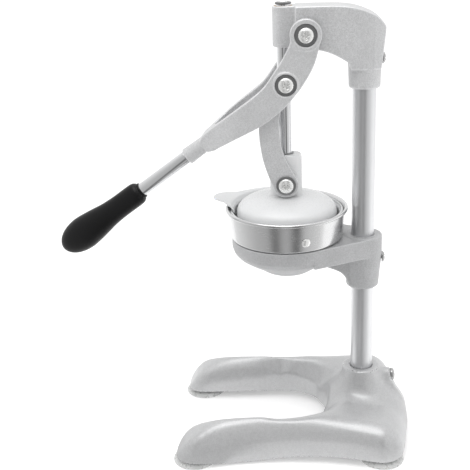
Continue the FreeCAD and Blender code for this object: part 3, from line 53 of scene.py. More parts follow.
# ---------------------------------------------------------------- materials
class Mat:
    """Small helper round a node material."""

    def __init__(self, name):
        self.m = bpy.data.materials.new(name)
        self.m.use_nodes = True
        self.nt = self.m.node_tree
        self.nt.nodes.clear()
        self.out = self.nt.nodes.new("ShaderNodeOutputMaterial")
        self.bsdf = self.nt.nodes.new("ShaderNodeBsdfPrincipled")
        self.nt.links.new(self.bsdf.outputs[0], self.out.inputs[0])
        self.tc = self.nt.nodes.new("ShaderNodeTexCoord")

    def link(self, a, b):
        self.nt.links.new(a, b)

    def set(self, **kw):
        for k, v in kw.items():
            self.bsdf.inputs[k.replace("_", " ")].default_value = v
        return self

    def mapped(self, scale):
        mp = self.nt.nodes.new("ShaderNodeMapping")
        mp.inputs["Scale"].default_value = scale
        self.link(self.tc.outputs["Object"], mp.inputs["Vector"])
        return mp.outputs[0]

    def noise(self, scale, detail=3.0, rough=0.6, vec=None, distortion=0.0):
        n = self.nt.nodes.new("ShaderNodeTexNoise")
        n.inputs["Scale"].default_value = scale
        n.inputs["Detail"].default_value = detail
        n.inputs["Roughness"].default_value = rough
        n.inputs["Distortion"].default_value = distortion
        self.link(vec if vec is not None else self.tc.outputs["Object"], n.inputs["Vector"])
        return n.outputs["Fac"]

    def ramp(self, src, lo, hi, a, b, smooth=False):
        r = self.nt.nodes.new("ShaderNodeMapRange")
        if smooth:
            r.interpolation_type = "SMOOTHSTEP"
        r.inputs["From Min"].default_value = lo
        r.inputs["From Max"].default_value = hi
        r.inputs["To Min"].default_value = a
        r.inputs["To Max"].default_value = b
        self.link(src, r.inputs["Value"])
        return r.outputs[0]

    def math(self, op, a, b=None):
        n = self.nt.nodes.new("ShaderNodeMath")
        n.operation = op
        for i, v in enumerate((a, b)):
            if v is None:
                continue
            if isinstance(v, (int, float)):
                n.inputs[i].default_value = v
            else:
                self.link(v, n.inputs[i])
        return n.outputs[0]

    def mix(self, fac, c1, c2):
        n = self.nt.nodes.new("ShaderNodeMix")
        n.data_type = "RGBA"
        self.link(fac, n.inputs[0])
        for i, c in ((6, c1), (7, c2)):
            if isinstance(c, tuple):
                n.inputs[i].default_value = (*c, 1.0)
            else:
                self.link(c, n.inputs[i])
        return n.outputs[2]

    def edges(self, lo, hi):
        g = self.nt.nodes.new("ShaderNodeNewGeometry")
        return self.ramp(g.outputs["Pointiness"], lo, hi, 0.0, 1.0, True)

    def bump(self, height, strength, distance, normal=None):
        b = self.nt.nodes.new("ShaderNodeBump")
        b.inputs["Strength"].default_value = strength
        b.inputs["Distance"].default_value = distance
        self.link(height, b.inputs["Height"])
        if normal is not None:
            self.link(normal, b.inputs["Normal"])
        return b.outputs[0]


def cast_metal(name, dark, light, metallic=0.35, rough=0.5, fine=1100.0, coarse=330.0, bump=0.35, worn=0.12, blotch=0.06):
    """Sand cast aluminium, tumbled: fine grain, pits, soft blotches, lighter worn edges."""
    m = Mat(name)
    g1 = m.noise(fine, 2.0, 0.7)
    g2 = m.noise(coarse, 3.0, 0.65)
    g3 = m.noise(38.0, 2.0, 0.5)
    grain = m.math("ADD", m.math("MULTIPLY", g1, 0.62), m.math("MULTIPLY", g2, 0.38))
    tone = m.ramp(grain, 0.41, 0.59, 0.0, 1.0)
    col = m.mix(tone, dark, light)
    col = m.mix(m.ramp(g3, 0.4, 0.62, 0.0, blotch * 2.0, True), col, tuple(0.82 * c for c in dark))
    edge = m.edges(0.507, 0.55)
    col = m.mix(m.math("MULTIPLY", edge, worn * 3.0), col, tuple(min(1.0, 1.25 * c) for c in light))
    m.link(col, m.bsdf.inputs["Base Color"])
    rgh = m.math("ADD", m.ramp(g2, 0.3, 0.7, rough - 0.07, rough + 0.08), m.math("MULTIPLY", edge, -0.12))
    m.link(rgh, m.bsdf.inputs["Roughness"])
    m.set(Metallic=metallic)
    n1 = m.bump(g2, bump * 0.7, 0.0006)
    n2 = m.bump(g1, bump, 0.0003, n1)
    m.link(n2, m.bsdf.inputs["Normal"])
    return m.m


def turned_metal(name, colour, rough=0.14, streak=(60.0, 60.0, 5.0), vary=0.06, bump=0.05, metallic=1.0, spread=0.05, painted_recess_shade=0.0):
    """Drawn or turned metal with fine streaks along one direction, with optional painted shade darkening its hollows.
    """
    m = Mat(name)
    v = m.mapped(streak)
    s = m.noise(18.0, 4.0, 0.7, v)
    d = m.noise(70.0, 2.0, 0.5)
    col = m.mix(m.ramp(s, 0.3, 0.7, 0.0, 1.0), tuple(c * (1 - vary) for c in colour), colour)
    # painted shade: hollows such as the cross recesses (low pointiness) are darkened towards 0.12 of the colour
    if painted_recess_shade:
        col = m.mix(m.math("MULTIPLY", m.math("SUBTRACT", 1.0, m.edges(0.38, 0.487)), painted_recess_shade), col, tuple(0.12 * c for c in colour))
    m.link(col, m.bsdf.inputs["Base Color"])
    m.link(m.math("ADD", m.ramp(s, 0.3, 0.7, rough - spread * 0.5, rough + spread * 0.5), m.ramp(d, 0.35, 0.7, 0.0, spread)), m.bsdf.inputs["Roughness"])
    m.set(Metallic=metallic)
    m.link(m.bump(s, bump, 0.0002), m.bsdf.inputs["Normal"])
    return m.m


def plastic(name, colour, rough=0.35, vary=0.03, bump=0.08, spec=0.5, sub=0.0):
    m = Mat(name)
    a = m.noise(22.0, 3.0, 0.5)
    b = m.noise(900.0, 2.0, 0.6)
    col = m.mix(m.ramp(a, 0.35, 0.65, 0.0, 1.0, True), tuple(c * (1 - vary) for c in colour), colour)
    m.link(col, m.bsdf.inputs["Base Color"])
    m.link(m.ramp(b, 0.3, 0.7, rough - 0.05, rough + 0.06), m.bsdf.inputs["Roughness"])
    m.bsdf.inputs["Specular IOR Level"].default_value = spec
    if sub:
        m.bsdf.inputs["Subsurface Weight"].default_value = sub
        m.bsdf.inputs["Subsurface Scale"].default_value = 0.004
        m.bsdf.inputs["Subsurface Radius"].default_value = (1.0, 0.95, 0.9)
    m.link(m.bump(b, bump, 0.0002), m.bsdf.inputs["Normal"])
    return m.m


M_CAST = cast_metal("cast_aluminium_grain", (0.50, 0.502, 0.507), (0.655, 0.658, 0.665), metallic=0.32, rough=0.42, fine=1500.0, coarse=560.0, bump=0.34, worn=0.2)
# painted shade: the same cast aluminium as the head in a darker tone, standing in for the darker look the bracket has
# under the light
M_BRACKET_PAINTED_SHADE = cast_metal("cast_aluminium_bracket_painted_shade", (0.38, 0.382, 0.387), (0.51, 0.513, 0.52), metallic=0.32, rough=0.44, fine=1500.0, coarse=560.0, bump=0.34, worn=0.18)
M_BASE = cast_metal("cast_aluminium_satin", (0.50, 0.502, 0.507), (0.572, 0.575, 0.58), metallic=0.45, rough=0.37, fine=900.0, coarse=260.0, bump=0.14, worn=0.04, blotch=0.04)
M_COLUMN = turned_metal("column_satin", (0.76, 0.765, 0.775), rough=0.36, streak=(110.0, 110.0, 1.2), vary=0.05, bump=0.012)
M_CHROME = turned_metal("chromed_rod", (0.83, 0.835, 0.845), rough=0.09, streak=(60.0, 60.0, 4.0), vary=0.05, bump=0.03, spread=0.03)
M_SHEET = turned_metal("stainless_brushed", (0.74, 0.742, 0.745), rough=0.22, streak=(6.0, 6.0, 260.0), vary=0.07, bump=0.06)
# the screws' cross recesses get painted shade at strength 0.9
M_SCREW = turned_metal("screw_plated", (0.97, 0.97, 0.96), rough=0.17, streak=(40.0, 120.0, 120.0), vary=0.08, bump=0.05, metallic=0.72, painted_recess_shade=0.9)
M_REAR = turned_metal("screw_zinc", (0.50, 0.50, 0.50), rough=0.24, streak=(120.0, 40.0, 120.0), vary=0.25, bump=0.1, metallic=0.9, painted_recess_shade=0.9)
M_WHITE = plastic("white_moulded", (0.72, 0.725, 0.73), rough=0.3, sub=0.08)
M_STRAINER = plastic("white_strainer", (0.655, 0.66, 0.665), rough=0.36, sub=0.08)
M_GRIP = plastic("grip_black_rubber", (0.006, 0.006, 0.0065), rough=0.36, vary=0.3, bump=0.16, spec=0.22)
M_DARK = turned_metal("washer_black_oxide", (0.22, 0.222, 0.226), rough=0.42, streak=(50.0, 90.0, 90.0), vary=0.25, bump=0.12, metallic=0.6)
M_GREY = turned_metal("washer_grey", (0.34, 0.342, 0.345), rough=0.34, streak=(50.0, 90.0, 90.0), vary=0.12, bump=0.08)
M_BRASS = turned_metal("brass_turned", (0.72, 0.55, 0.28), rough=0.25, streak=(90.0, 30.0, 90.0), vary=0.12, bump=0.08)
M_BRONZE = turned_metal("bronze_sintered", (0.55, 0.40, 0.24), rough=0.38, streak=(90.0, 90.0, 30.0), vary=0.15, bump=0.1)
M_STEEL = turned_metal("pin_steel", (0.62, 0.625, 0.63), rough=0.26, streak=(8.0, 120.0, 120.0), vary=0.08, bump=0.05)


def cup_rubber():
    m = Mat("suction_rubber_clear")
    a = m.noise(60.0, 3.0, 0.5)
    b = m.noise(240.0, 2.0, 0.5)
    m.link(m.mix(m.ramp(a, 0.35, 0.65, 0.0, 1.0, True), (0.66, 0.665, 0.66), (0.78, 0.785, 0.78)), m.bsdf.inputs["Base Color"])
    m.link(m.ramp(b, 0.3, 0.7, 0.24, 0.34), m.bsdf.inputs["Roughness"])
    m.bsdf.inputs["Transmission Weight"].default_value = 0.25
    m.bsdf.inputs["IOR"].default_value = 1.38
    m.link(m.bump(b, 0.03, 0.0002), m.bsdf.inputs["Normal"])
    return m.m


M_CUP = cup_rubber()
SLOT_MAT = {
    "cast_aluminium": M_CAST, "cast_aluminium_base": M_BASE, "column_steel": M_COLUMN, "chromed_steel": M_CHROME,
    "stainless_sheet": M_SHEET, "screw_steel": M_SCREW, "white_plastic": M_WHITE, "grip_rubber": M_GRIP,
    "dark_washer": M_DARK, "grey_washer": M_GREY, "clear_rubber": M_CUP, "brass": M_BRASS, "bronze": M_BRONZE}

# every carried-over CAD node gets the procedural finish of its own kind
NODE_MAT = {
    "base_casting": M_BASE, "suction_cups": M_CUP, "suction_cup_studs": M_STEEL, "column_tube": M_COLUMN,
    "base_set_screw": M_REAR, "bracket_set_screw": M_REAR, "head_set_screw": M_REAR, "bowl_bracket": M_CAST,
    "juice_bowl": M_SHEET, "bowl_rivets": M_SCREW, "strainer_basket": M_WHITE, "reamer_cone": M_WHITE,
    "head_casting": M_CAST, "head_guide_bush": M_BRONZE, "lever_pivot_pin": M_STEEL, "lever_pivot_washers": M_DARK,
    "lever_pivot_screws": M_SCREW, "lever_fork": M_CAST, "handle_rod": M_CHROME, "handle_grip": M_GRIP,
    "knee_pivot_washers": M_DARK, "knee_pivot_screws": M_SCREW, "press_cup": M_WHITE, "guide_rod": M_CHROME,
    "rod_seat_ring": M_GREY, "rod_stop_washer": M_DARK, "rod_stop_screw": M_SCREW, "hub_screw_inserts": M_BRASS,
    "hub_pivot_washers": M_GREY, "hub_pivot_screws": M_SCREW, "link_right": M_CAST, "link_left": M_CAST}
for name, ob in nodes.items():
    mat = NODE_MAT[name]
    if not ob.material_slots:
        ob.data.materials.append(mat)
    for s in ob.material_slots:
        s.material = mat
BODY_OF = {n: b for b, members in frame["record"]["behaviour"]["bodies"].items() for n in members}


# ------------------------------------------------------------- mesh helpers
def make(name, verts, faces, mat, node, sharp=None, body=None):
    """verts in mm (y from the column axis); faces as lists or an (n, 4) array."""
    v = np.asarray(verts, float).copy()
    v[:, 1] += COLY
    v *= 0.001
    me = bpy.data.meshes.new(name)
    if isinstance(faces, np.ndarray):
        k = faces.shape[1]
        me.vertices.add(len(v))
        me.vertices.foreach_set("co", v.astype(np.float32).ravel())
        me.loops.add(faces.size)
        me.loops.foreach_set("vertex_index", faces.astype(np.int32).ravel())
        me.polygons.add(len(faces))
        me.polygons.foreach_set("loop_start", np.arange(0, faces.size, k, dtype=np.int32))
        me.update(calc_edges=True)
    else:
        me.from_pydata([tuple(p) for p in v], [], faces)
    me.polygons.foreach_set("use_smooth", np.ones(len(me.polygons), bool))
    if sharp:
        me.set_sharp_from_angle(angle=math.radians(sharp))
    me.update()
    me.materials.append(mat)
    ob = bpy.data.objects.new(name, me)
    scene.collection.objects.link(ob)
    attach(ob, body or BODY_OF[node])
    if node:
        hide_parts(node)
    return ob


def rounded(pts, rad, steps=4, closed=True):
    """Round the corners of an outline."""
    n, out = len(pts), []
    for i in range(n):
        p = np.array(pts[i], float)
        if p[0] == 0 or (not closed and i in (0, n - 1)):
            out.append(tuple(p))
            continue
        a, b = np.array(pts[i - 1], float), np.array(pts[(i + 1) % n], float)
        la, lb = np.linalg.norm(a - p), np.linalg.norm(b - p)
        d = min(rad, 0.45 * la, 0.45 * lb)
        pa, pb = p + (a - p) / la * d, p + (b - p) / lb * d
        for t in np.linspace(0, 1, steps + 1):
            out.append(tuple((1 - t) ** 2 * pa + 2 * t * (1 - t) * p + t * t * pb))
    return out


def curve_pts(pts, per=6):
    """Catmull-Rom through points."""
    p = np.array(pts, float)
    q = np.vstack([2 * p[0] - p[1], p, 2 * p[-1] - p[-2]])
    out = []
    for i in range(1, len(q) - 2):
        for t in np.arange(per) / per:
            a, b, c, d = q[i - 1], q[i], q[i + 1], q[i + 2]
            out.append(tuple(0.5 * (2 * b + (c - a) * t + (2 * a - 5 * b + 4 * c - d) * t * t + (3 * b - a - 3 * c + d) * t ** 3)))
    out.append(tuple(p[-1]))
    return out


def lathe(pts, segs=160, frame_m=None):
    """Turn a profile (r, z), listed so that material lies to its left. Poles at r = 0."""
    verts, faces, rows = [], [], []
    ang = np.arange(segs) / segs * 2 * math.pi
    for r, z in pts:
        if r <= 1e-9:
            rows.append([len(verts)])
            verts.append((0.0, 0.0, z))
        else:
            rows.append(list(range(len(verts), len(verts) + segs)))
            verts.extend(zip(r * np.cos(ang), r * np.sin(ang), np.full(segs, z)))
    ends_on_axis = pts[0][0] <= 1e-9 and pts[-1][0] <= 1e-9
    pairs = [(i, i + 1) for i in range(len(rows) - 1)]
    if not ends_on_axis:
        pairs.append((len(rows) - 1, 0))
    for i, j in pairs:
        a, b = rows[i], rows[j]
        for k in range(segs):
            k2 = (k + 1) % segs
            if len(a) == 1 and len(b) == 1:
                continue
            if len(a) == 1:
                faces.append([a[0], b[k2], b[k]])
            elif len(b) == 1:
                faces.append([a[k], a[k2], b[0]])
            else:
                faces.append([a[k], a[k2], b[k2], b[k]])
    v = np.array(verts, float)
    # outward facing test by signed volume
    vol = 0.0
    for f in faces:
        for t in range(1, len(f) - 1):
            vol += np.dot(v[f[0]], np.cross(v[f[t]], v[f[t + 1]]))
    if vol < 0:
        faces = [f[::-1] for f in faces]
    if frame_m is not None:
        v = v @ frame_m[:3, :3].T + frame_m[:3, 3]
    return v, faces


def frame_along(direction, origin):
    z = np.array(direction, float)
    z /= np.linalg.norm(z)
    x = np.cross((0.0, 0.0, 1.0) if abs(z[2]) < 0.9 else (0.0, 1.0, 0.0), z)
    x /= np.linalg.norm(x)
    y = np.cross(z, x)
    m = np.eye(4)
    m[:3, 0], m[:3, 1], m[:3, 2], m[:3, 3] = x, y, z, origin
    return m


def joined(parts):
    verts, faces, off = [], [], 0
    for v, f in parts:
        verts.append(v)
        if isinstance(f, np.ndarray):
            faces.extend((f + off).tolist())
        else:
            faces.extend([[i + off for i in q] for q in f])
        off += len(v)
    return np.vstack(verts), faces


def mirror_x(part):
    v, f = part
    v = v.copy()
    v[:, 0] *= -1
    f = f[:, ::-1].copy() if isinstance(f, np.ndarray) else [q[::-1] for q in f]
    return v, f


def upright(y):
    m = np.eye(4)
    m[1, 3] = y
    return m


# ---------------------------------------------- implicit solids and meshing
def smin(a, b, k):
    h = np.clip(0.5 + 0.5 * (b - a) / k, 0.0, 1.0)
    return b * (1 - h) + a * h - k * h * (1 - h)


def smax(a, b, k):
    return -smin(-a, -b, k)


class Outline:
    """Signed distance to a closed outline, kept as a table (negative inside)."""

    def __init__(self, pts, lo, hi, step=1.0, part=None):
        p = np.array(pts, float)
        q = np.roll(p, -1, axis=0)
        self.lo, self.step = np.array(lo, float), step
        xs = np.arange(lo[0], hi[0] + step, step)
        ys = np.arange(lo[1], hi[1] + step, step)
        X, Y = np.meshgrid(xs, ys, indexing="ij")
        g = np.stack([X.ravel(), Y.ravel()], 1)
        d2 = np.full(len(g), 1e18)
        inside = np.zeros(len(g), bool)
        for i in range(len(p)):
            a, b = p[i], q[i]
            e = b - a
            l2 = max(e @ e, 1e-12)
            if part is None or part[i]:
                t = np.clip(((g - a) @ e) / l2, 0, 1)
                dd = ((g - a - t[:, None] * e) ** 2).sum(1)
                d2 = np.minimum(d2, dd)
            c = (a[1] > g[:, 1]) != (b[1] > g[:, 1])
            with np.errstate(divide="ignore", invalid="ignore"):
                xx = (b[0] - a[0]) * (g[:, 1] - a[1]) / (b[1] - a[1] if b[1] != a[1] else 1e-12) + a[0]
            inside ^= c & (g[:, 0] < xx)
        d = np.sqrt(d2)
        self.t = np.where(inside, -d, d).reshape(X.shape)

    def __call__(self, x, y):
        u = np.clip((x - self.lo[0]) / self.step, 0, self.t.shape[0] - 1.001)
        v = np.clip((y - self.lo[1]) / self.step, 0, self.t.shape[1] - 1.001)
        i, j = u.astype(int), v.astype(int)
        fu, fv = u - i, v - j
        t = self.t
        return (t[i, j] * (1 - fu) + t[i + 1, j] * fu) * (1 - fv) + (t[i, j + 1] * (1 - fu) + t[i + 1, j + 1] * fu) * fv


def mesh_of(f, lo, hi, step, relax=2, project=3, polish=0):
    """Surface net of f = 0 (negative inside), relaxed and pulled back on to the surface."""
    ax = [np.arange(lo[a], hi[a] + step, step) for a in range(3)]
    X, Y, Z = np.meshgrid(*ax, indexing="ij")
    F = f(X, Y, Z)
    n = F.shape
    c = np.array(n) - 1
    total = int(c.prod())
    acc = np.zeros((3, total))
    cnt = np.zeros(total)
    quads = []
    for a in range(3):
        s0, s1 = [slice(None)] * 3, [slice(None)] * 3
        s0[a], s1[a] = slice(0, n[a] - 1), slice(1, n[a])
        A, B = F[tuple(s0)], F[tuple(s1)]
        m = (A < 0) != (B < 0)
        I = np.argwhere(m)
        va, vb = A[m], B[m]
        P = np.stack([ax[0][I[:, 0]], ax[1][I[:, 1]], ax[2][I[:, 2]]], 0).astype(float)
        P[a] += va / (va - vb) * step
        u, w = (a + 1) % 3, (a + 2) % 3
        ids = []
        for du, dw in ((-1, -1), (0, -1), (0, 0), (-1, 0)):
            J = I.copy()
            J[:, u] += du
            J[:, w] += dw
            k = (J[:, 0] * c[1] + J[:, 1]) * c[2] + J[:, 2]
            ids.append(k)
            cnt += np.bincount(k, minlength=total)
            for d in range(3):
                acc[d] += np.bincount(k, weights=P[d], minlength=total)
        q = np.stack(ids, 1)
        q[va >= 0] = q[va >= 0][:, ::-1]
        quads.append(q)
    quads = np.vstack(quads)
    used, inv = np.unique(quads, return_inverse=True)
    quads = inv.reshape(quads.shape)
    V = (acc[:, used] / cnt[used]).T

    def pull(V, times):
        h = 0.25 * step
        for _ in range(times):
            x, y, z = V.T
            v = f(x, y, z)
            gx = (f(x + h, y, z) - f(x - h, y, z)) / (2 * h)
            gy = (f(x, y + h, z) - f(x, y - h, z)) / (2 * h)
            gz = (f(x, y, z + h) - f(x, y, z - h)) / (2 * h)
            g2 = np.maximum(gx * gx + gy * gy + gz * gz, 0.05)
            s = np.clip(v / g2, -step, step)
            V = V - np.stack([gx * s, gy * s, gz * s], 1)
        return V

    V = pull(V, 1)
    def eased(V):
        tot = np.zeros_like(V)
        k = np.zeros(len(V))
        for i in range(4):
            a, b = quads[:, i], quads[:, (i + 1) % 4]
            for d in range(3):
                tot[:, d] += np.bincount(a, weights=V[b, d], minlength=len(V)) + np.bincount(b, weights=V[a, d], minlength=len(V))
            k += np.bincount(a, minlength=len(V)) + np.bincount(b, minlength=len(V))
        return V * 0.4 + 0.6 * tot / k[:, None]

    for _ in range(relax):
        V = pull(eased(V), 1)
    V = pull(V, project)
    for _ in range(polish):
        V = eased(V)
    return V, quads


def softened(name, node, voxel, rounds, mat, factor=0.5):
    """A copy of a casting's solid with cast-soft edges: fine remesh, then smoothing."""
    src = nodes[node]
    ob = bpy.data.objects.new(name, src.data.copy())
    scene.collection.objects.link(ob)
    m = ob.modifiers.new("Fine", "REMESH")
    m.mode, m.voxel_size, m.adaptivity, m.use_smooth_shade = "VOXEL", voxel * 0.001, 0.0, True
    s = ob.modifiers.new("Soft", "SMOOTH")
    s.factor, s.iterations = factor, rounds
    dg = bpy.context.evaluated_depsgraph_get()
    me = bpy.data.meshes.new_from_object(ob.evaluated_get(dg))
    ob.modifiers.clear()
    ob.data = me
    me.name = name
    me.materials.clear()
    me.materials.append(mat)
    me.polygons.foreach_set("material_index", np.zeros(len(me.polygons), np.int32))
    me.polygons.foreach_set("use_smooth", np.ones(len(me.polygons), bool))
    me.update()
    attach(ob, BODY_OF[node])
    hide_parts(node)
    return ob


# -------------------------------------------------------------- base casting
def base_points():
    toe, heel, uc = (78.5, -192.5), (77.0, 17.0), (0.0, -93.7)

    def cross(c1, r1, c2, r2, side):
        dx, dy = c2[0] - c1[0], c2[1] - c1[1]
        d = math.hypot(dx, dy)
        a = (r1 * r1 - r2 * r2 + d * d) / (2 * d)
        h = math.sqrt(r1 * r1 - a * a) * side
        return (c1[0] + a * dx / d - h * dy / d, c1[1] + a * dy / d + h * dx / d)

    side = cross(toe, 394.5, heel, 395.0, -1)
    if side[0] < 0:
        side = cross(toe, 394.5, heel, 395.0, 1)
    a = heel[1] - 52.0
    R = (625.0 - heel[0] ** 2 - a * a) / (2 * a + 50.0)
    rear = (0.0, 52.0 - R)
    dx, dy = toe[0] - uc[0], toe[1] - uc[1]
    ang = math.atan2(dy, dx) + math.acos((57.0 + 24.5) / math.hypot(dx, dy))

    def arc(c, r, a0, a1, n):
        return [(c[0] + r * math.cos(t), c[1] + r * math.sin(t)) for t in np.linspace(a0, a1, n)]

    inner = arc(uc, 57.0, math.pi / 2, ang, 40)
    to_side_toe = math.atan2(toe[1] - side[1], toe[0] - side[0]) + math.pi
    outer = arc(toe, 24.5, ang + math.pi, ang + math.pi + ((math.atan2(side[1] - toe[1], side[0] - toe[0]) - ang - math.pi) % (2 * math.pi)), 40)
    # the side arc is convex inwards or outwards depending on its centre, which lies outside the foot
    t0 = math.atan2(outer[-1][1] - side[1], outer[-1][0] - side[0])
    a_h = math.atan2(side[1] - heel[1], side[0] - heel[0])
    heel_out = (heel[0] + 25.0 * math.cos(a_h), heel[1] + 25.0 * math.sin(a_h))
    t1 = math.atan2(heel_out[1] - side[1], heel_out[0] - side[0])
    dt = (t1 - t0 + math.pi) % (2 * math.pi) - math.pi
    outer += arc(side, 370.0, t0, t0 + dt, 40)
    rd = math.atan2(heel[1] - rear[1], heel[0] - rear[0])
    outer += arc(heel, 25.0, a_h, a_h + ((rd - a_h) % (2 * math.pi)), 24)
    outer += arc(rear, R, rd, math.pi / 2, 24)
    half = inner + outer
    flags = [True] * len(inner) + [False] * len(outer)
    left = [(-x, y) for x, y in reversed(half)][1:-1]
    lflags = list(reversed(flags))[1:-1]
    pts = half + left
    # a piece of outline from i to i + 1 counts as inner when both its ends are inner
    isin = flags + lflags
    inner_seg = [isin[i] and isin[(i + 1) % len(pts)] for i in range(len(pts))]
    return pts, inner_seg


BP, BIN = base_points()
LO2, HI2 = (-112.0, -226.0), (112.0, 62.0)
base_all = Outline(BP, LO2, HI2, 1.0)
base_notch = Outline(BP, LO2, HI2, 1.0, BIN)
base_rim = Outline(BP, LO2, HI2, 1.0, [not b for b in BIN])


def base_height(x, y):
    so = np.clip(-base_rim(x, y), 0, None)
    si = np.clip(-base_notch(x, y), 0, None)
    start = np.interp(y, [-217, -200, -186, -144, -109, -72, -20, 20, 45, 52], [9, 17, 23.5, 28.5, 30.5, 32, 32.5, 30, 22, 18])
    ridge = np.interp(y, [-217, -181, -160, -130, -94, -62, -40, 0, 30, 52], [46, 49.5, 52.2, 54.2, 56.0, 54.6, 52.0, 49, 46, 44])
    wide = 27.0
    h_out = start + (ridge - start) * (1 - (1 - np.clip(so / wide, 0, 1)) ** 1.5)
    crease = np.interp(y, [-217, -198, -162, -109, -88, -69, -55, -44, -36], [11, 16, 20.5, 29.5, 30.5, 28, 25, 22, 22])
    h_in = crease + (ridge - crease) * (1 - (1 - np.clip(si / wide, 0, 1)) ** 1.3)
    cap = np.interp(y, [-218, -215, -211.5, -208, -202, -194, -184, -173, -160, -144, -120, -60, 10, 20, 30, 40, 46, 53],
                    [2.5, 6, 11, 17.5, 26, 33.5, 39.8, 44.8, 48.6, 51.2, 53, 53, 52, 49, 44, 37, 31, 20])
    h = smin(h_out, h_in, 12.0) + 2.2
    h = smin(h, cap, 9.0)
    # the far heel is lower than the middle of the rear edge
    return smin(h, 58.0 - 0.16 * np.clip(y + 30, 0, None) * np.clip((np.abs(x) - 30) / 30, 0, 1) ** 1.0 - 4.0 * np.clip((np.abs(x) - 50) / 40, 0, 1) * np.clip(y / 40, 0, 1), 5.0)


def base_solid(x, y, z):
    o = base_all(x, y)
    h = base_height(x, y)
    low = np.interp(y, [-217, -200, -190, -180, -168, -150, -125, -95, -70, -35, -10, 10, 52],
                    [9.0, 8.2, 7.0, 5.2, 3.2, 2.2, 2.6, 5.0, 7.2, 8.6, 8.0, 7.6, 8.0])
    under = 8.2 + (low - 8.2) * np.clip((np.abs(x) - 76.0) / 12.0, 0, 1)
    # side walls lean in a little towards the top
    wall = o + 0.06 * np.clip(z - 12.0, 0, 30)
    # crisp along the notch, soft round the outside
    soft = 1.0 + 5.0 * np.clip((-base_notch(x, y) - 6.0) / 14.0, 0, 1)
    f = smax(wall, (z - h) * 0.72, soft)
    r = np.hypot(x, y)
    rn = np.interp(z, [24, 30, 36, 40, 44, 47.5, 52, 56.5, 62.5, 68, 76], [56, 51, 46, 42.5, 38.5, 34.5, 30.5, 27.8, 24.8, 22.8, 21.3])
    neck = smax((r - rn) * 0.8, o - 2.0, 6.0)
    neck = smax(neck, (z - 77.0), 2.4)
    f = smin(f, neck, 9.0)
    boss = smax(np.hypot(x, z - 62.5) - 8.6, np.abs(y - 17.0) - 16.8, 2.0)
    web = smax(smax(np.abs(x) - 6.0, y - np.interp(z, [34, 40, 48, 56, 64], [46.5, 44.5, 40.5, 36.5, 32.0]), 3.0), smax(5.0 - y, z - 60.0, 3.0), 3.0)
    f = smin(f, boss, 6.0)
    f = smin(f, web, 7.0)
    f = smax(f, under - z, 2.0)
    # hollow under the casting, with bosses for the cups' studs
    hollow = smax(o + 7.0, z - np.minimum(h - 10.0, 30.0), 4.0)
    f = smax(f, -hollow, 1.5)
    stud = smax(np.hypot(np.abs(x) - 78.2, np.minimum(np.abs(y + 191.7), np.abs(y - 17.8))) - 9.0, 18.6 - z, 1.0)
    f = smin(f, smax(stud, z - h + 4.0, 2.0), 2.5)
    f = smax(f, -smax(np.hypot(np.abs(x) - 78.2, np.minimum(np.abs(y + 191.7), np.abs(y - 17.8))) - 3.1, z - 30.2, 0.2), 0.3)
    # bore for the column
    core = smax(r - 20.0, z - 40.0, 3.0)
    f = smin(f, smax(core, 13.2 - z, 1.0), 3.0)
    f = smax(f, -smax(r - 12.55, 12.0 - z, 0.3), 0.8)
    return f


v, q = mesh_of(base_solid, (-108.0, -222.0, 2.0), (108.0, 58.0, 82.0), 1.5, polish=2)
v[:, 0] = np.clip(v[:, 0], -102.9, 102.9)
v[:, 1] = np.clip(v[:, 1], -217.0, 51.95)
make("base_casting_body", v, q, M_BASE, "base_casting")

# ------------------------------------------------- castings softened from CAD
softened("bowl_bracket_body", "bowl_bracket", 0.9, 8, M_BRACKET_PAINTED_SHADE)
softened("head_casting_body", "head_casting", 0.8, 7, M_CAST)
softened("lever_fork_body", "lever_fork", 0.7, 13, M_CAST)
softened("link_right_body", "link_right", 0.5, 6, M_CAST)
softened("link_left_body", "link_left", 0.5, 6, M_CAST)

# ------------------------------------------------------------- turned pieces
tube = rounded([(10.0, 12.0), (12.5, 12.0), (12.5, 468.0), (10.0, 468.0)], 0.5)
v, f = lathe(tube, 192)
make("column_tube_body", v, f, M_COLUMN, "column_tube", 40)

rod = rounded([(0, 314.2), (7.5, 314.2), (7.5, 490.9), (2.5, 490.9), (2.5, 479.0), (0, 479.0)], 0.5, closed=False)
v, f = lathe(rod, 160, upright(ROD_Y))
make("guide_rod_body", v, f, M_CHROME, "guide_rod", 40)

END = np.array((0.0, -191.2, 331.5))
ALONG = np.array((0.0, -math.cos(math.radians(35.32)), -math.sin(math.radians(35.32))))
hrod = rounded([(0, -22.0), (6.0, -22.0), (6.0, 0.1), (7.4, 0.1), (7.4, 118.0), (0, 118.0)], 0.6, closed=False)
v, f = lathe(hrod, 160, frame_along(ALONG, END))
make("handle_rod_body", v, f, M_CHROME, "handle_rod", 40)

shape = curve_pts([(10.6, 3.4), (12.3, 6.4), (12.9, 12.0), (12.9, 24.0), (13.1, 36.0), (13.9, 48.0), (15.4, 58.0),
                   (17.2, 70.0), (18.5, 82.0), (18.4, 89.0), (17.2, 96.5), (14.9, 103.5), (11.3, 109.5), (6.6, 113.8), (3.0, 115.2), (0.0, 115.5)], 6)
grip = [(7.42, 54.85), (7.42, 0.5), (7.7, 0.0), (8.0, 0.0), (8.6, 0.2), (8.95, 0.8), (9.0, 1.6), (9.1, 2.3), (9.6, 2.9)] + shape
grip[-1] = (0.0, 115.5)
grip = [(0.0, 54.85)] + grip
v, f = lathe(grip, 160, frame_along(ALONG, END + ALONG * 63.2))
make("handle_grip_body", v, f, M_GRIP, "handle_grip", 60)

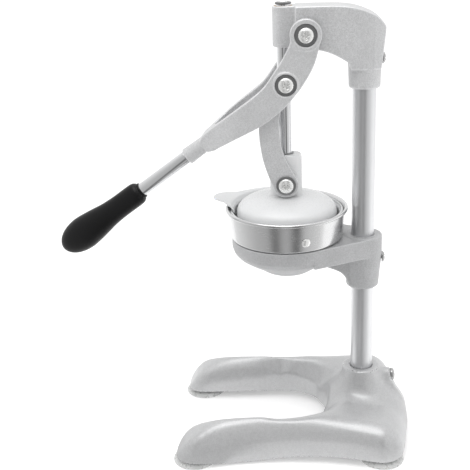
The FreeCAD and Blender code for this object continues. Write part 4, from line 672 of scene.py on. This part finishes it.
# juice bowl: rolled bead, leaning wall, outlet tube
bead = [(67.6 - 1.95 + 1.9 * math.cos(t), 271.3 + 1.9 * math.sin(t)) for t in np.linspace(-2.2, 2.9, 18)]
bowl = (rounded([(12.0, 196.8), (13.0, 196.8), (13.0, 223.5), (14.5, 225.0), (54.0, 238.0), (55.4, 239.0), (60.2, 239.0), (62.0, 240.8), (64.3, 267.6)], 1.2, closed=False)
        + bead
        + rounded([(62.9, 270.6), (61.0, 242.0), (59.4, 240.0), (55.6, 240.0), (54.4, 238.9), (14.5, 226.1), (12.0, 224.6)], 1.0, closed=False))
v, f = lathe(bowl, 224, upright(ROD_Y))
make("juice_bowl_body", v, f, M_SHEET, "juice_bowl", 50)

# press cup: smooth dome with a thin lip, and the hub block with rounded ends
dome_out = curve_pts([(55.5, 261.8), (55.5, 265.4), (55.2, 269.7), (54.0, 273.1), (52.2, 275.7), (50.0, 277.7), (44.0, 281.5), (35.0, 284.5), (24.0, 286.6), (14.0, 287.5), (0.0, 287.6)], 4)
DOME = np.array(dome_out)[::-1]


def press_solid(x, y, z):
    yy = y - ROD_Y
    r = np.hypot(x, yy)
    top = np.interp(r, DOME[:, 0][:-5], DOME[:, 1][:-5])
    outer = smax(r - 55.5, (z - top) * 0.8, 3.0)
    shell = smax(outer, -(smax(r - 51.2, (z - (top - 4.2)) * 0.8, 3.0)), 1.0)
    shell = smax(shell, 261.0 - z, 0.8)
    qx, qy = np.abs(x) - 4.0, np.abs(yy) - 10.4
    plan = np.hypot(np.maximum(qx, 0), np.maximum(qy, 0)) + np.minimum(np.maximum(qx, qy), 0) - 7.0
    crown = 333.3 - 0.9 * np.clip((np.abs(yy) - 8.0) / 9.4, 0, 1) ** 2
    hub = smax(plan, z - crown, 3.6)
    hub = smax(hub, 284.0 - z, 0.5)
    # the fillet is kept small beside the hub, where the links swing
    f = smin(shell, hub, 3.2 - 2.6 * np.clip((np.abs(x) - 7.0) / 3.0, 0, 1))
    f = smax(f, -smax(r - 7.52, 314.0 - z, 0.2), 0.5)
    ins = smax(np.hypot(yy, z - 302.0) - 4.6, 2.0 - np.abs(x), 0.2)
    return smax(f, -ins, 0.4)


v, q = mesh_of(press_solid, (-58.0, -142.0, 259.0), (58.0, -26.0, 336.0), 1.0)
make("press_cup_body", v, q, M_WHITE, "press_cup")


# strainer: a shallow basket with a rounded ring and a lifting tab over the rim
TAB = math.radians(-115.0)


def basket_solid(x, y, z):
    yy = y - ROD_Y
    r = np.hypot(x, yy)
    wall_out = np.interp(z, [240.0, 241.8, 266.4, 268.2, 269.4, 270.6], [57.3, 58.7, 60.3, 61.8, 62.3, 61.6])
    wall = smax(np.abs(r - (wall_out - 1.1)) - 1.05, np.abs(z - 255.2) - 15.2, 0.8)
    floor = smax(r - 58.0, np.abs(z - 240.9) - 0.9, 0.6)
    a = np.arctan2(yy, x)
    # slots in the floor
    k = np.mod(a + math.pi / 24, math.pi / 12) - math.pi / 24
    slot = smax(np.abs(r * np.sin(k)) - 1.2, np.abs(r - 34.0) - 16.0, 0.6)
    floor = smax(floor, -slot, 0.4)
    # tab: rises from the ring, passes over the bowl's rim, ends in a round tip
    ux, uy = math.cos(TAB), math.sin(TAB)
    s = x * ux + yy * uy
    t = -x * uy + yy * ux
    tip = np.hypot(s - 74.0, t) - 16.0
    near = np.interp(s, [50.0, 58.0, 66.0, 70.0, 74.0], [34.0, 28.5, 21.0, 17.8, 16.0])
    far = np.interp(s, [44.0, 50.0, 58.0, 66.0, 70.0, 74.0], [50.0, 46.0, 38.0, 27.0, 20.5, 16.0])
    fan = np.maximum(np.where(t < 0, -t - far, t - near), np.maximum(s - 74.0, 30.0 - s))
    plan = smin(tip, fan, 4.0)
    plan = smax(plan, 57.4 - r, 1.0)
    deck = np.interp(r, [57.0, 58.5, 61.5, 63.5, 91.0], [268.6, 271.2, 274.5, 275.0, 275.0])
    tab = smax(plan, np.abs(z - deck) - 1.15, 1.0)
    return smin(smin(wall, floor, 1.0), tab, 1.4)


v, q = mesh_of(basket_solid, (-68.0, -172.0, 238.0), (68.0, -18.0, 279.0), 0.8, relax=1)
v[:, 2] = np.clip(v[:, 2], 240.0, 276.2)
make("strainer_basket_body", v, q, M_STRAINER, "strainer_basket")


# reamer: ribbed cone
def reamer():
    segs, rows = 240, 60
    verts, faces = [], []
    prof = [(0.0, 275.0), (4.0, 274.0), (10.0, 270.0), (22.0, 258.8), (34.0, 249.4), (41.4, 243.6), (43.0, 242.6)]
    rr = np.linspace(0.8, 43.0, rows)
    zz = np.interp(rr, [p[0] for p in prof], [p[1] for p in prof])
    ang = np.arange(segs) / segs * 2 * math.pi
    verts.append((0.0, ROD_Y, 275.0))
    for r, z in zip(rr, zz):
        fade = np.clip((r - 2.0) / 6.0, 0, 1) * np.clip((42.4 - r) / 5.0, 0, 1)
        rib = np.maximum(0.0, np.cos(ang * 10)) ** 2.2 * 2.6 * fade
        verts.extend(zip(r * np.cos(ang), ROD_Y + r * np.sin(ang), z + rib))
    base_at = len(verts)
    verts.extend(zip(43.0 * np.cos(ang), ROD_Y + 43.0 * np.sin(ang), np.full(segs, 241.85)))
    centre = len(verts)
    verts.append((0.0, ROD_Y, 241.85))
    for k in range(segs):
        k2 = (k + 1) % segs
        faces.append([0, 1 + k, 1 + k2])
        for i in range(rows):
            a = 1 + i * segs
            b = 1 + (i + 1) * segs
            faces.append([a + k, b + k, b + k2, a + k2])
        faces.append([base_at + k, centre, base_at + k2])
    return np.array(verts), faces


v, f = reamer()
make("reamer_cone_body", v, f, M_WHITE, "reamer_cone", 60)

# rivets: domed heads on the bowl's leaning wall
lean_w = math.atan2(64.7 - 62.0, 269.1 - 240.8)
seat_r = 62.0 + (250.9 - 240.8) * math.tan(lean_w)
turn_w = math.radians(18.4)
out_w = np.array((math.cos(turn_w) * math.cos(lean_w), math.sin(turn_w) * math.cos(lean_w), -math.sin(lean_w)))
at_w = np.array((math.cos(turn_w) * seat_r, ROD_Y + math.sin(turn_w) * seat_r, 250.9))
head_w = [(0.0, -2.3), (2.2, -2.3), (2.2, 0.02), (4.5, 0.02), (4.85, 0.25), (4.75, 0.6), (4.1, 1.15), (3.3, 1.6), (2.3, 1.9), (1.2, 2.04), (0.0, 2.08)]
one = lathe(head_w, 96, frame_along(out_w, at_w))
two = (one[0] * np.array((-1.0, -1.0, 1.0)) + np.array((0.0, 2 * ROD_Y, 0.0)), one[1])
v, f = joined([one, two])
make("bowl_rivets_body", v, f, M_SCREW, "bowl_rivets", 45)

# suction cups
cup = [(20.8, 0.0), (23.4, 0.0), (24.1, 0.5), (24.2, 1.3), (23.6, 2.6), (22.2, 4.3), (19.4, 5.7), (16.2, 6.9), (12.6, 8.4), (10.0, 10.0), (8.4, 11.8), (7.6, 13.6),
       (7.0, 16.6), (6.6, 17.6), (6.0, 18.0), (3.0, 18.0), (3.0, 8.7), (0.0, 8.6)]
under_cup = [(0.0, 6.0), (8.2, 5.0), (13.5, 3.8), (17.2, 2.4), (19.8, 0.9)]
cups = []
for sx in (1, -1):
    for yy in (-191.7, 17.8):
        m = np.eye(4)
        m[0, 3], m[1, 3] = 78.2 * sx, yy
        cups.append(lathe(under_cup + cup, 128, m))
v, f = joined(cups)
make("suction_cups_body", v, f, M_CUP, "suction_cups", 50)


# ---------------------------------------------------------------- fasteners
def screw_head(turn, rad=8.0, high=4.2):
    """Pan head with a tapered cross recess; seat at z = 0."""
    c, s = math.cos(turn), math.sin(turn)

    def f(x, y, z):
        r = np.hypot(x, y)
        crown = high - 1.9 * (r / rad) ** 2 - 0.6 * (r / rad) ** 6
        g = smax(r - rad, z - crown, 1.1)
        g = smax(g, -z, 0.3)
        u, w = x * c + y * s, -x * s + y * c
        depth = high - z
        half = 1.15 - 0.17 * depth
        arm = 5.0 - 0.8 * depth
        one = np.maximum(np.abs(w) - half, np.abs(u) - arm)
        two = np.maximum(np.abs(u) - half, np.abs(w) - arm)
        bowl = r - (2.0 - 0.5 * depth)
        rec = smin(smin(one, two, 0.7), bowl, 0.5)
        rec = smax(rec, (high - 2.9) - z, 0.3)
        return smax(g, -rec, 0.28)

    return mesh_of(f, (-rad - 0.8, -rad - 0.8, -0.8), (rad + 0.8, rad + 0.8, high + 0.8), 0.25, relax=1, project=2)


def placed(part, m):
    v, f = part
    return v @ m[:3, :3].T + m[:3, 3], f


def out_x(y, z, x):
    """Local z points along +x."""
    m = np.zeros((4, 4))
    m[:3, 0], m[:3, 1], m[:3, 2], m[:3, 3] = (0, 1, 0), (0, 0, 1), (1, 0, 0), (x, y, z)
    m[3, 3] = 1
    return m


def shank(steps, x_from):
    """Turned shank inwards from the seat, along -x: (radius, length) steps."""
    pts = [(0.0, 0.35)]
    z = 0.35
    for i, (rad, length) in enumerate(steps):
        pts.append((rad, z))
        z2 = (z if i else 0.0) - length
        pts.append((rad, z2))
        z = z2
    pts.append((0.0, z))
    return lathe(pts, 64)


def screw_pair(name, node, y, z, seat, steps, turn, mat=M_SCREW):
    head = screw_head(turn)
    m = out_x(y, z, seat)
    one = [placed(head, m), placed(shank(steps, seat), m)]
    both = one + [mirror_x(p) for p in one]
    v, f = joined(both)
    return make(name, v, f, mat, node, 40)


screw_pair("lever_pivot_screws_body", "lever_pivot_screws", -61.5, 462.0, 29.5 - 3.0 + 1.8, [(2.9, 9.0)], 0.22)
screw_pair("knee_pivot_screws_body", "knee_pivot_screws", -82.5, 412.0, 29.5 - 3.0 + 1.8, [(4.0, 8.5), (3.0, 7.5)], 0.5)
screw_pair("hub_pivot_screws_body", "hub_pivot_screws", -84.0, 302.0, 11.5 + 7.6 + 1.5, [(3.0, 1.5), (5.0, 8.1), (3.0, 8.4)], 0.75)


def out_y(z, y):
    """Local z points along +y."""
    m = np.zeros((4, 4))
    m[:3, 0], m[:3, 1], m[:3, 2], m[:3, 3] = (0, 0, 1), (1, 0, 0), (0, 1, 0), (0.0, y, z)
    m[3, 3] = 1
    return m


for what, z, seat, rad, high, stem, turn in (("base_set_screw", 62.5, 34.0, 7.4, 5.4, (3.0, 20.0), 0.4),
                                             ("bracket_set_screw", 211.5, 21.5, 6.2, 3.6, (2.5, 8.2), 0.9),
                                             ("head_set_screw", 433.5, 18.3, 6.2, 3.6, (2.5, 5.0), 0.1)):
    m = out_y(z, seat)
    v, f = joined([placed(screw_head(turn, rad, high), m), placed(shank([stem], seat), m)])
    make(what + "_body", v, f, M_REAR, what, 40)


def ring_pair(name, node, y, z, x0, thick, outer, inner, mat):
    a = lathe(rounded([(inner, 0.0), (outer, 0.0), (outer, thick), (inner, thick)], 0.45, 3), 128, out_x(y, z, x0))
    v, f = joined([a, mirror_x(a)])
    return make(name, v, f, mat, node, 40)


ring_pair("lever_pivot_washers_body", "lever_pivot_washers", -61.5, 462.0, 26.5, 1.8, 11.45, 3.0, M_DARK)
ring_pair("knee_pivot_washers_body", "knee_pivot_washers", -82.5, 412.0, 26.5, 1.8, 11.05, 4.0, M_DARK)
ring_pair("hub_pivot_washers_body", "hub_pivot_washers", -84.0, 302.0, 19.4, 1.2, 10.6, 3.0, M_GREY)

v, f = lathe(rounded([(7.5, 333.3), (8.8, 333.3), (8.8, 334.5), (7.5, 334.5)], 0.3, 3), 128, upright(ROD_Y))
make("rod_seat_ring_body", v, f, M_GREY, "rod_seat_ring", 40)
v, f = lathe(rounded([(2.5, 490.9), (8.4, 490.9), (8.4, 492.7), (2.5, 492.7)], 0.4, 3), 128, upright(ROD_Y))
make("rod_stop_washer_body", v, f, M_DARK, "rod_stop_washer", 40)

# ------------------------------------------------------------------- camera
YAW, PITCH, ROLL = 0.0634954, 0.3484925, -0.0380063
f0 = np.array((-math.cos(YAW) * math.cos(PITCH), -math.sin(YAW) * math.cos(PITCH), -math.sin(PITCH)))
r0 = np.cross(f0, (0.0, 0.0, 1.0))
r0 /= np.linalg.norm(r0)
u0 = np.cross(r0, f0)
r1 = math.cos(ROLL) * r0 + math.sin(ROLL) * u0
u1 = -math.sin(ROLL) * r0 + math.cos(ROLL) * u0
cam_data = bpy.data.cameras.new("studio_camera")
cam_data.lens = 70.48
cam_data.sensor_width = 36.0
cam_data.clip_start, cam_data.clip_end = 0.01, 100.0
cam = bpy.data.objects.new("studio_camera", cam_data)
scene.collection.objects.link(cam)
mw = Matrix.Identity(4)
for i in range(3):
    mw[i][0], mw[i][1], mw[i][2] = r1[i], u1[i], -f0[i]
mw[0][3], mw[1][3], mw[2][3] = 0.967899, 0.063008, 0.592018
cam.matrix_world = mw
scene.camera = cam

# -------------------------------------------------------------------- stage
me = bpy.data.meshes.new("studio_floor")
N, S = 16, 30.0
gx = np.linspace(-S, S, N + 1)
fv = [(x, y, -0.00005) for x in gx for y in gx]
ff = [(i * (N + 1) + j, (i + 1) * (N + 1) + j, (i + 1) * (N + 1) + j + 1, i * (N + 1) + j + 1) for i in range(N) for j in range(N)]
me.from_pydata(fv, [], ff)
floor = bpy.data.objects.new("studio_floor", me)
scene.collection.objects.link(floor)
fm = Mat("studio_floor_white")
fm.set(Base_Color=(0.80, 0.80, 0.80, 1.0), Roughness=0.9)
fm.bsdf.inputs["Specular IOR Level"].default_value = 0.1
fm.bsdf.inputs["Emission Color"].default_value = (1.0, 1.0, 1.0, 1.0)
fm.bsdf.inputs["Emission Strength"].default_value = 0.33
me.materials.append(fm.m)

# -------------------------------------------------------------------- light
world = bpy.data.worlds.new("studio_world")
scene.world = world
world.use_nodes = True
wn = world.node_tree
wn.nodes.clear()
wo = wn.nodes.new("ShaderNodeOutputWorld")
bg = wn.nodes.new("ShaderNodeBackground")
wn.links.new(bg.outputs[0], wo.inputs[0])
tc = wn.nodes.new("ShaderNodeTexCoord")
sp = wn.nodes.new("ShaderNodeSeparateXYZ")
wn.links.new(tc.outputs["Generated"], sp.inputs[0])


def wmath(op, a, b=None):
    n = wn.nodes.new("ShaderNodeMath")
    n.operation = op
    for i, s in enumerate((a, b)):
        if s is None:
            continue
        if isinstance(s, (int, float)):
            n.inputs[i].default_value = s
        else:
            wn.links.new(s, n.inputs[i])
    return n.outputs[0]


def wramp(src, lo, hi, a, b):
    r = wn.nodes.new("ShaderNodeMapRange")
    r.interpolation_type = "SMOOTHSTEP"
    for k, val in (("From Min", lo), ("From Max", hi), ("To Min", a), ("To Max", b)):
        r.inputs[k].default_value = val
    wn.links.new(src, r.inputs["Value"])
    return r.outputs[0]


azim = wmath("ABSOLUTE", wmath("ARCTAN2", sp.outputs[1], sp.outputs[0]))
side = wramp(azim, 0.42, 0.78, 0.30, 1.0)
strip = wramp(azim, 0.05, 0.22, 0.22, 0.0)
side = wmath("ADD", side, strip)
high = wramp(sp.outputs[2], 0.30, 0.62, 0.0, 1.0)
level = wmath("MAXIMUM", side, high)
wn.links.new(wmath("MULTIPLY", level, 1.0), bg.inputs["Strength"])
bg.inputs["Color"].default_value = (1.0, 1.0, 1.0, 1.0)


def area(name, loc, target, size, energy):
    d = bpy.data.lights.new(name, "AREA")
    d.shape, d.size, d.energy = "SQUARE", size, energy
    o = bpy.data.objects.new(name, d)
    scene.collection.objects.link(o)
    o.location = loc
    o.rotation_mode = "QUATERNION"
    o.rotation_quaternion = (Vector(target) - Vector(loc)).to_track_quat("-Z", "Y")
    return o


area("soft_top", (0.25, -0.15, 1.7), (0.0, 0.05, 0.2), 1.3, 11.0)


# a curved grey card on the camera's side, seen only by reflections: the
# polished metal mirrors it as its dark bands
def card(radius, y_c, tones, z1):
    a0, a1 = tones[0][0], tones[-1][0]
    n = 60
    ang = np.linspace(a0, a1, n + 1)
    me = bpy.data.meshes.new("studio_card")
    rows = [(0.15, 0.0008), (radius, 0.0008), (radius, z1)]
    vv = [(r * math.cos(math.radians(t)), y_c + r * math.sin(math.radians(t)), z) for t in ang for r, z in rows]
    me.from_pydata(vv, [], [(3 * i + k, 3 * i + k + 1, 3 * i + k + 4, 3 * i + k + 3) for i in range(n) for k in (0, 1)])
    ob = bpy.data.objects.new("studio_card", me)
    scene.collection.objects.link(ob)
    m = Mat("studio_card_grey")
    mp = m.nt.nodes.new("ShaderNodeMapping")
    mp.inputs["Location"].default_value = (0.0, -y_c, 0.0)
    m.link(m.tc.outputs["Object"], mp.inputs["Vector"])
    xyz = m.nt.nodes.new("ShaderNodeSeparateXYZ")
    m.link(mp.outputs[0], xyz.inputs[0])
    az = m.math("ARCTAN2", xyz.outputs[1], xyz.outputs[0])
    pos = m.ramp(az, math.radians(a0), math.radians(a1), 0.0, 1.0)
    cr = m.nt.nodes.new("ShaderNodeValToRGB")
    m.link(pos, cr.inputs[0])
    el = cr.color_ramp.elements
    while len(el) > 1:
        el.remove(el[-1])
    for i, (t, v) in enumerate(tones):
        q = (t - a0) / (a1 - a0)
        e = el[0] if i == 0 else el.new(q)
        e.position = q
        e.color = (v, v, v, 1.0)
    em = m.nt.nodes.new("ShaderNodeEmission")
    m.link(cr.outputs[0], em.inputs[0])
    em.inputs[1].default_value = 1.0
    m.link(em.outputs[0], m.out.inputs[0])
    me.materials.append(m.m)
    ob.visible_camera = False
    ob.visible_diffuse = False
    ob.visible_shadow = False
    ob.visible_transmission = False
    return ob


card(0.30, 0.10, [(-118, 1.0), (-100, 0.86), (-80, 0.68), (-62, 0.54), (-46, 0.50), (-39, 0.46), (-34, 0.20), (-26, 0.18), (-19, 0.40), (-12, 0.50), (-5, 0.50),
                  (0, 0.40), (5, 0.18), (14, 0.12), (20, 0.42), (27, 0.64), (46, 0.72), (70, 0.86)], 0.62)

scene.view_settings.view_transform = "Standard"
scene.view_settings.look = "None"
scene.view_settings.exposure = 0.0
scene.view_settings.gamma = 1.0
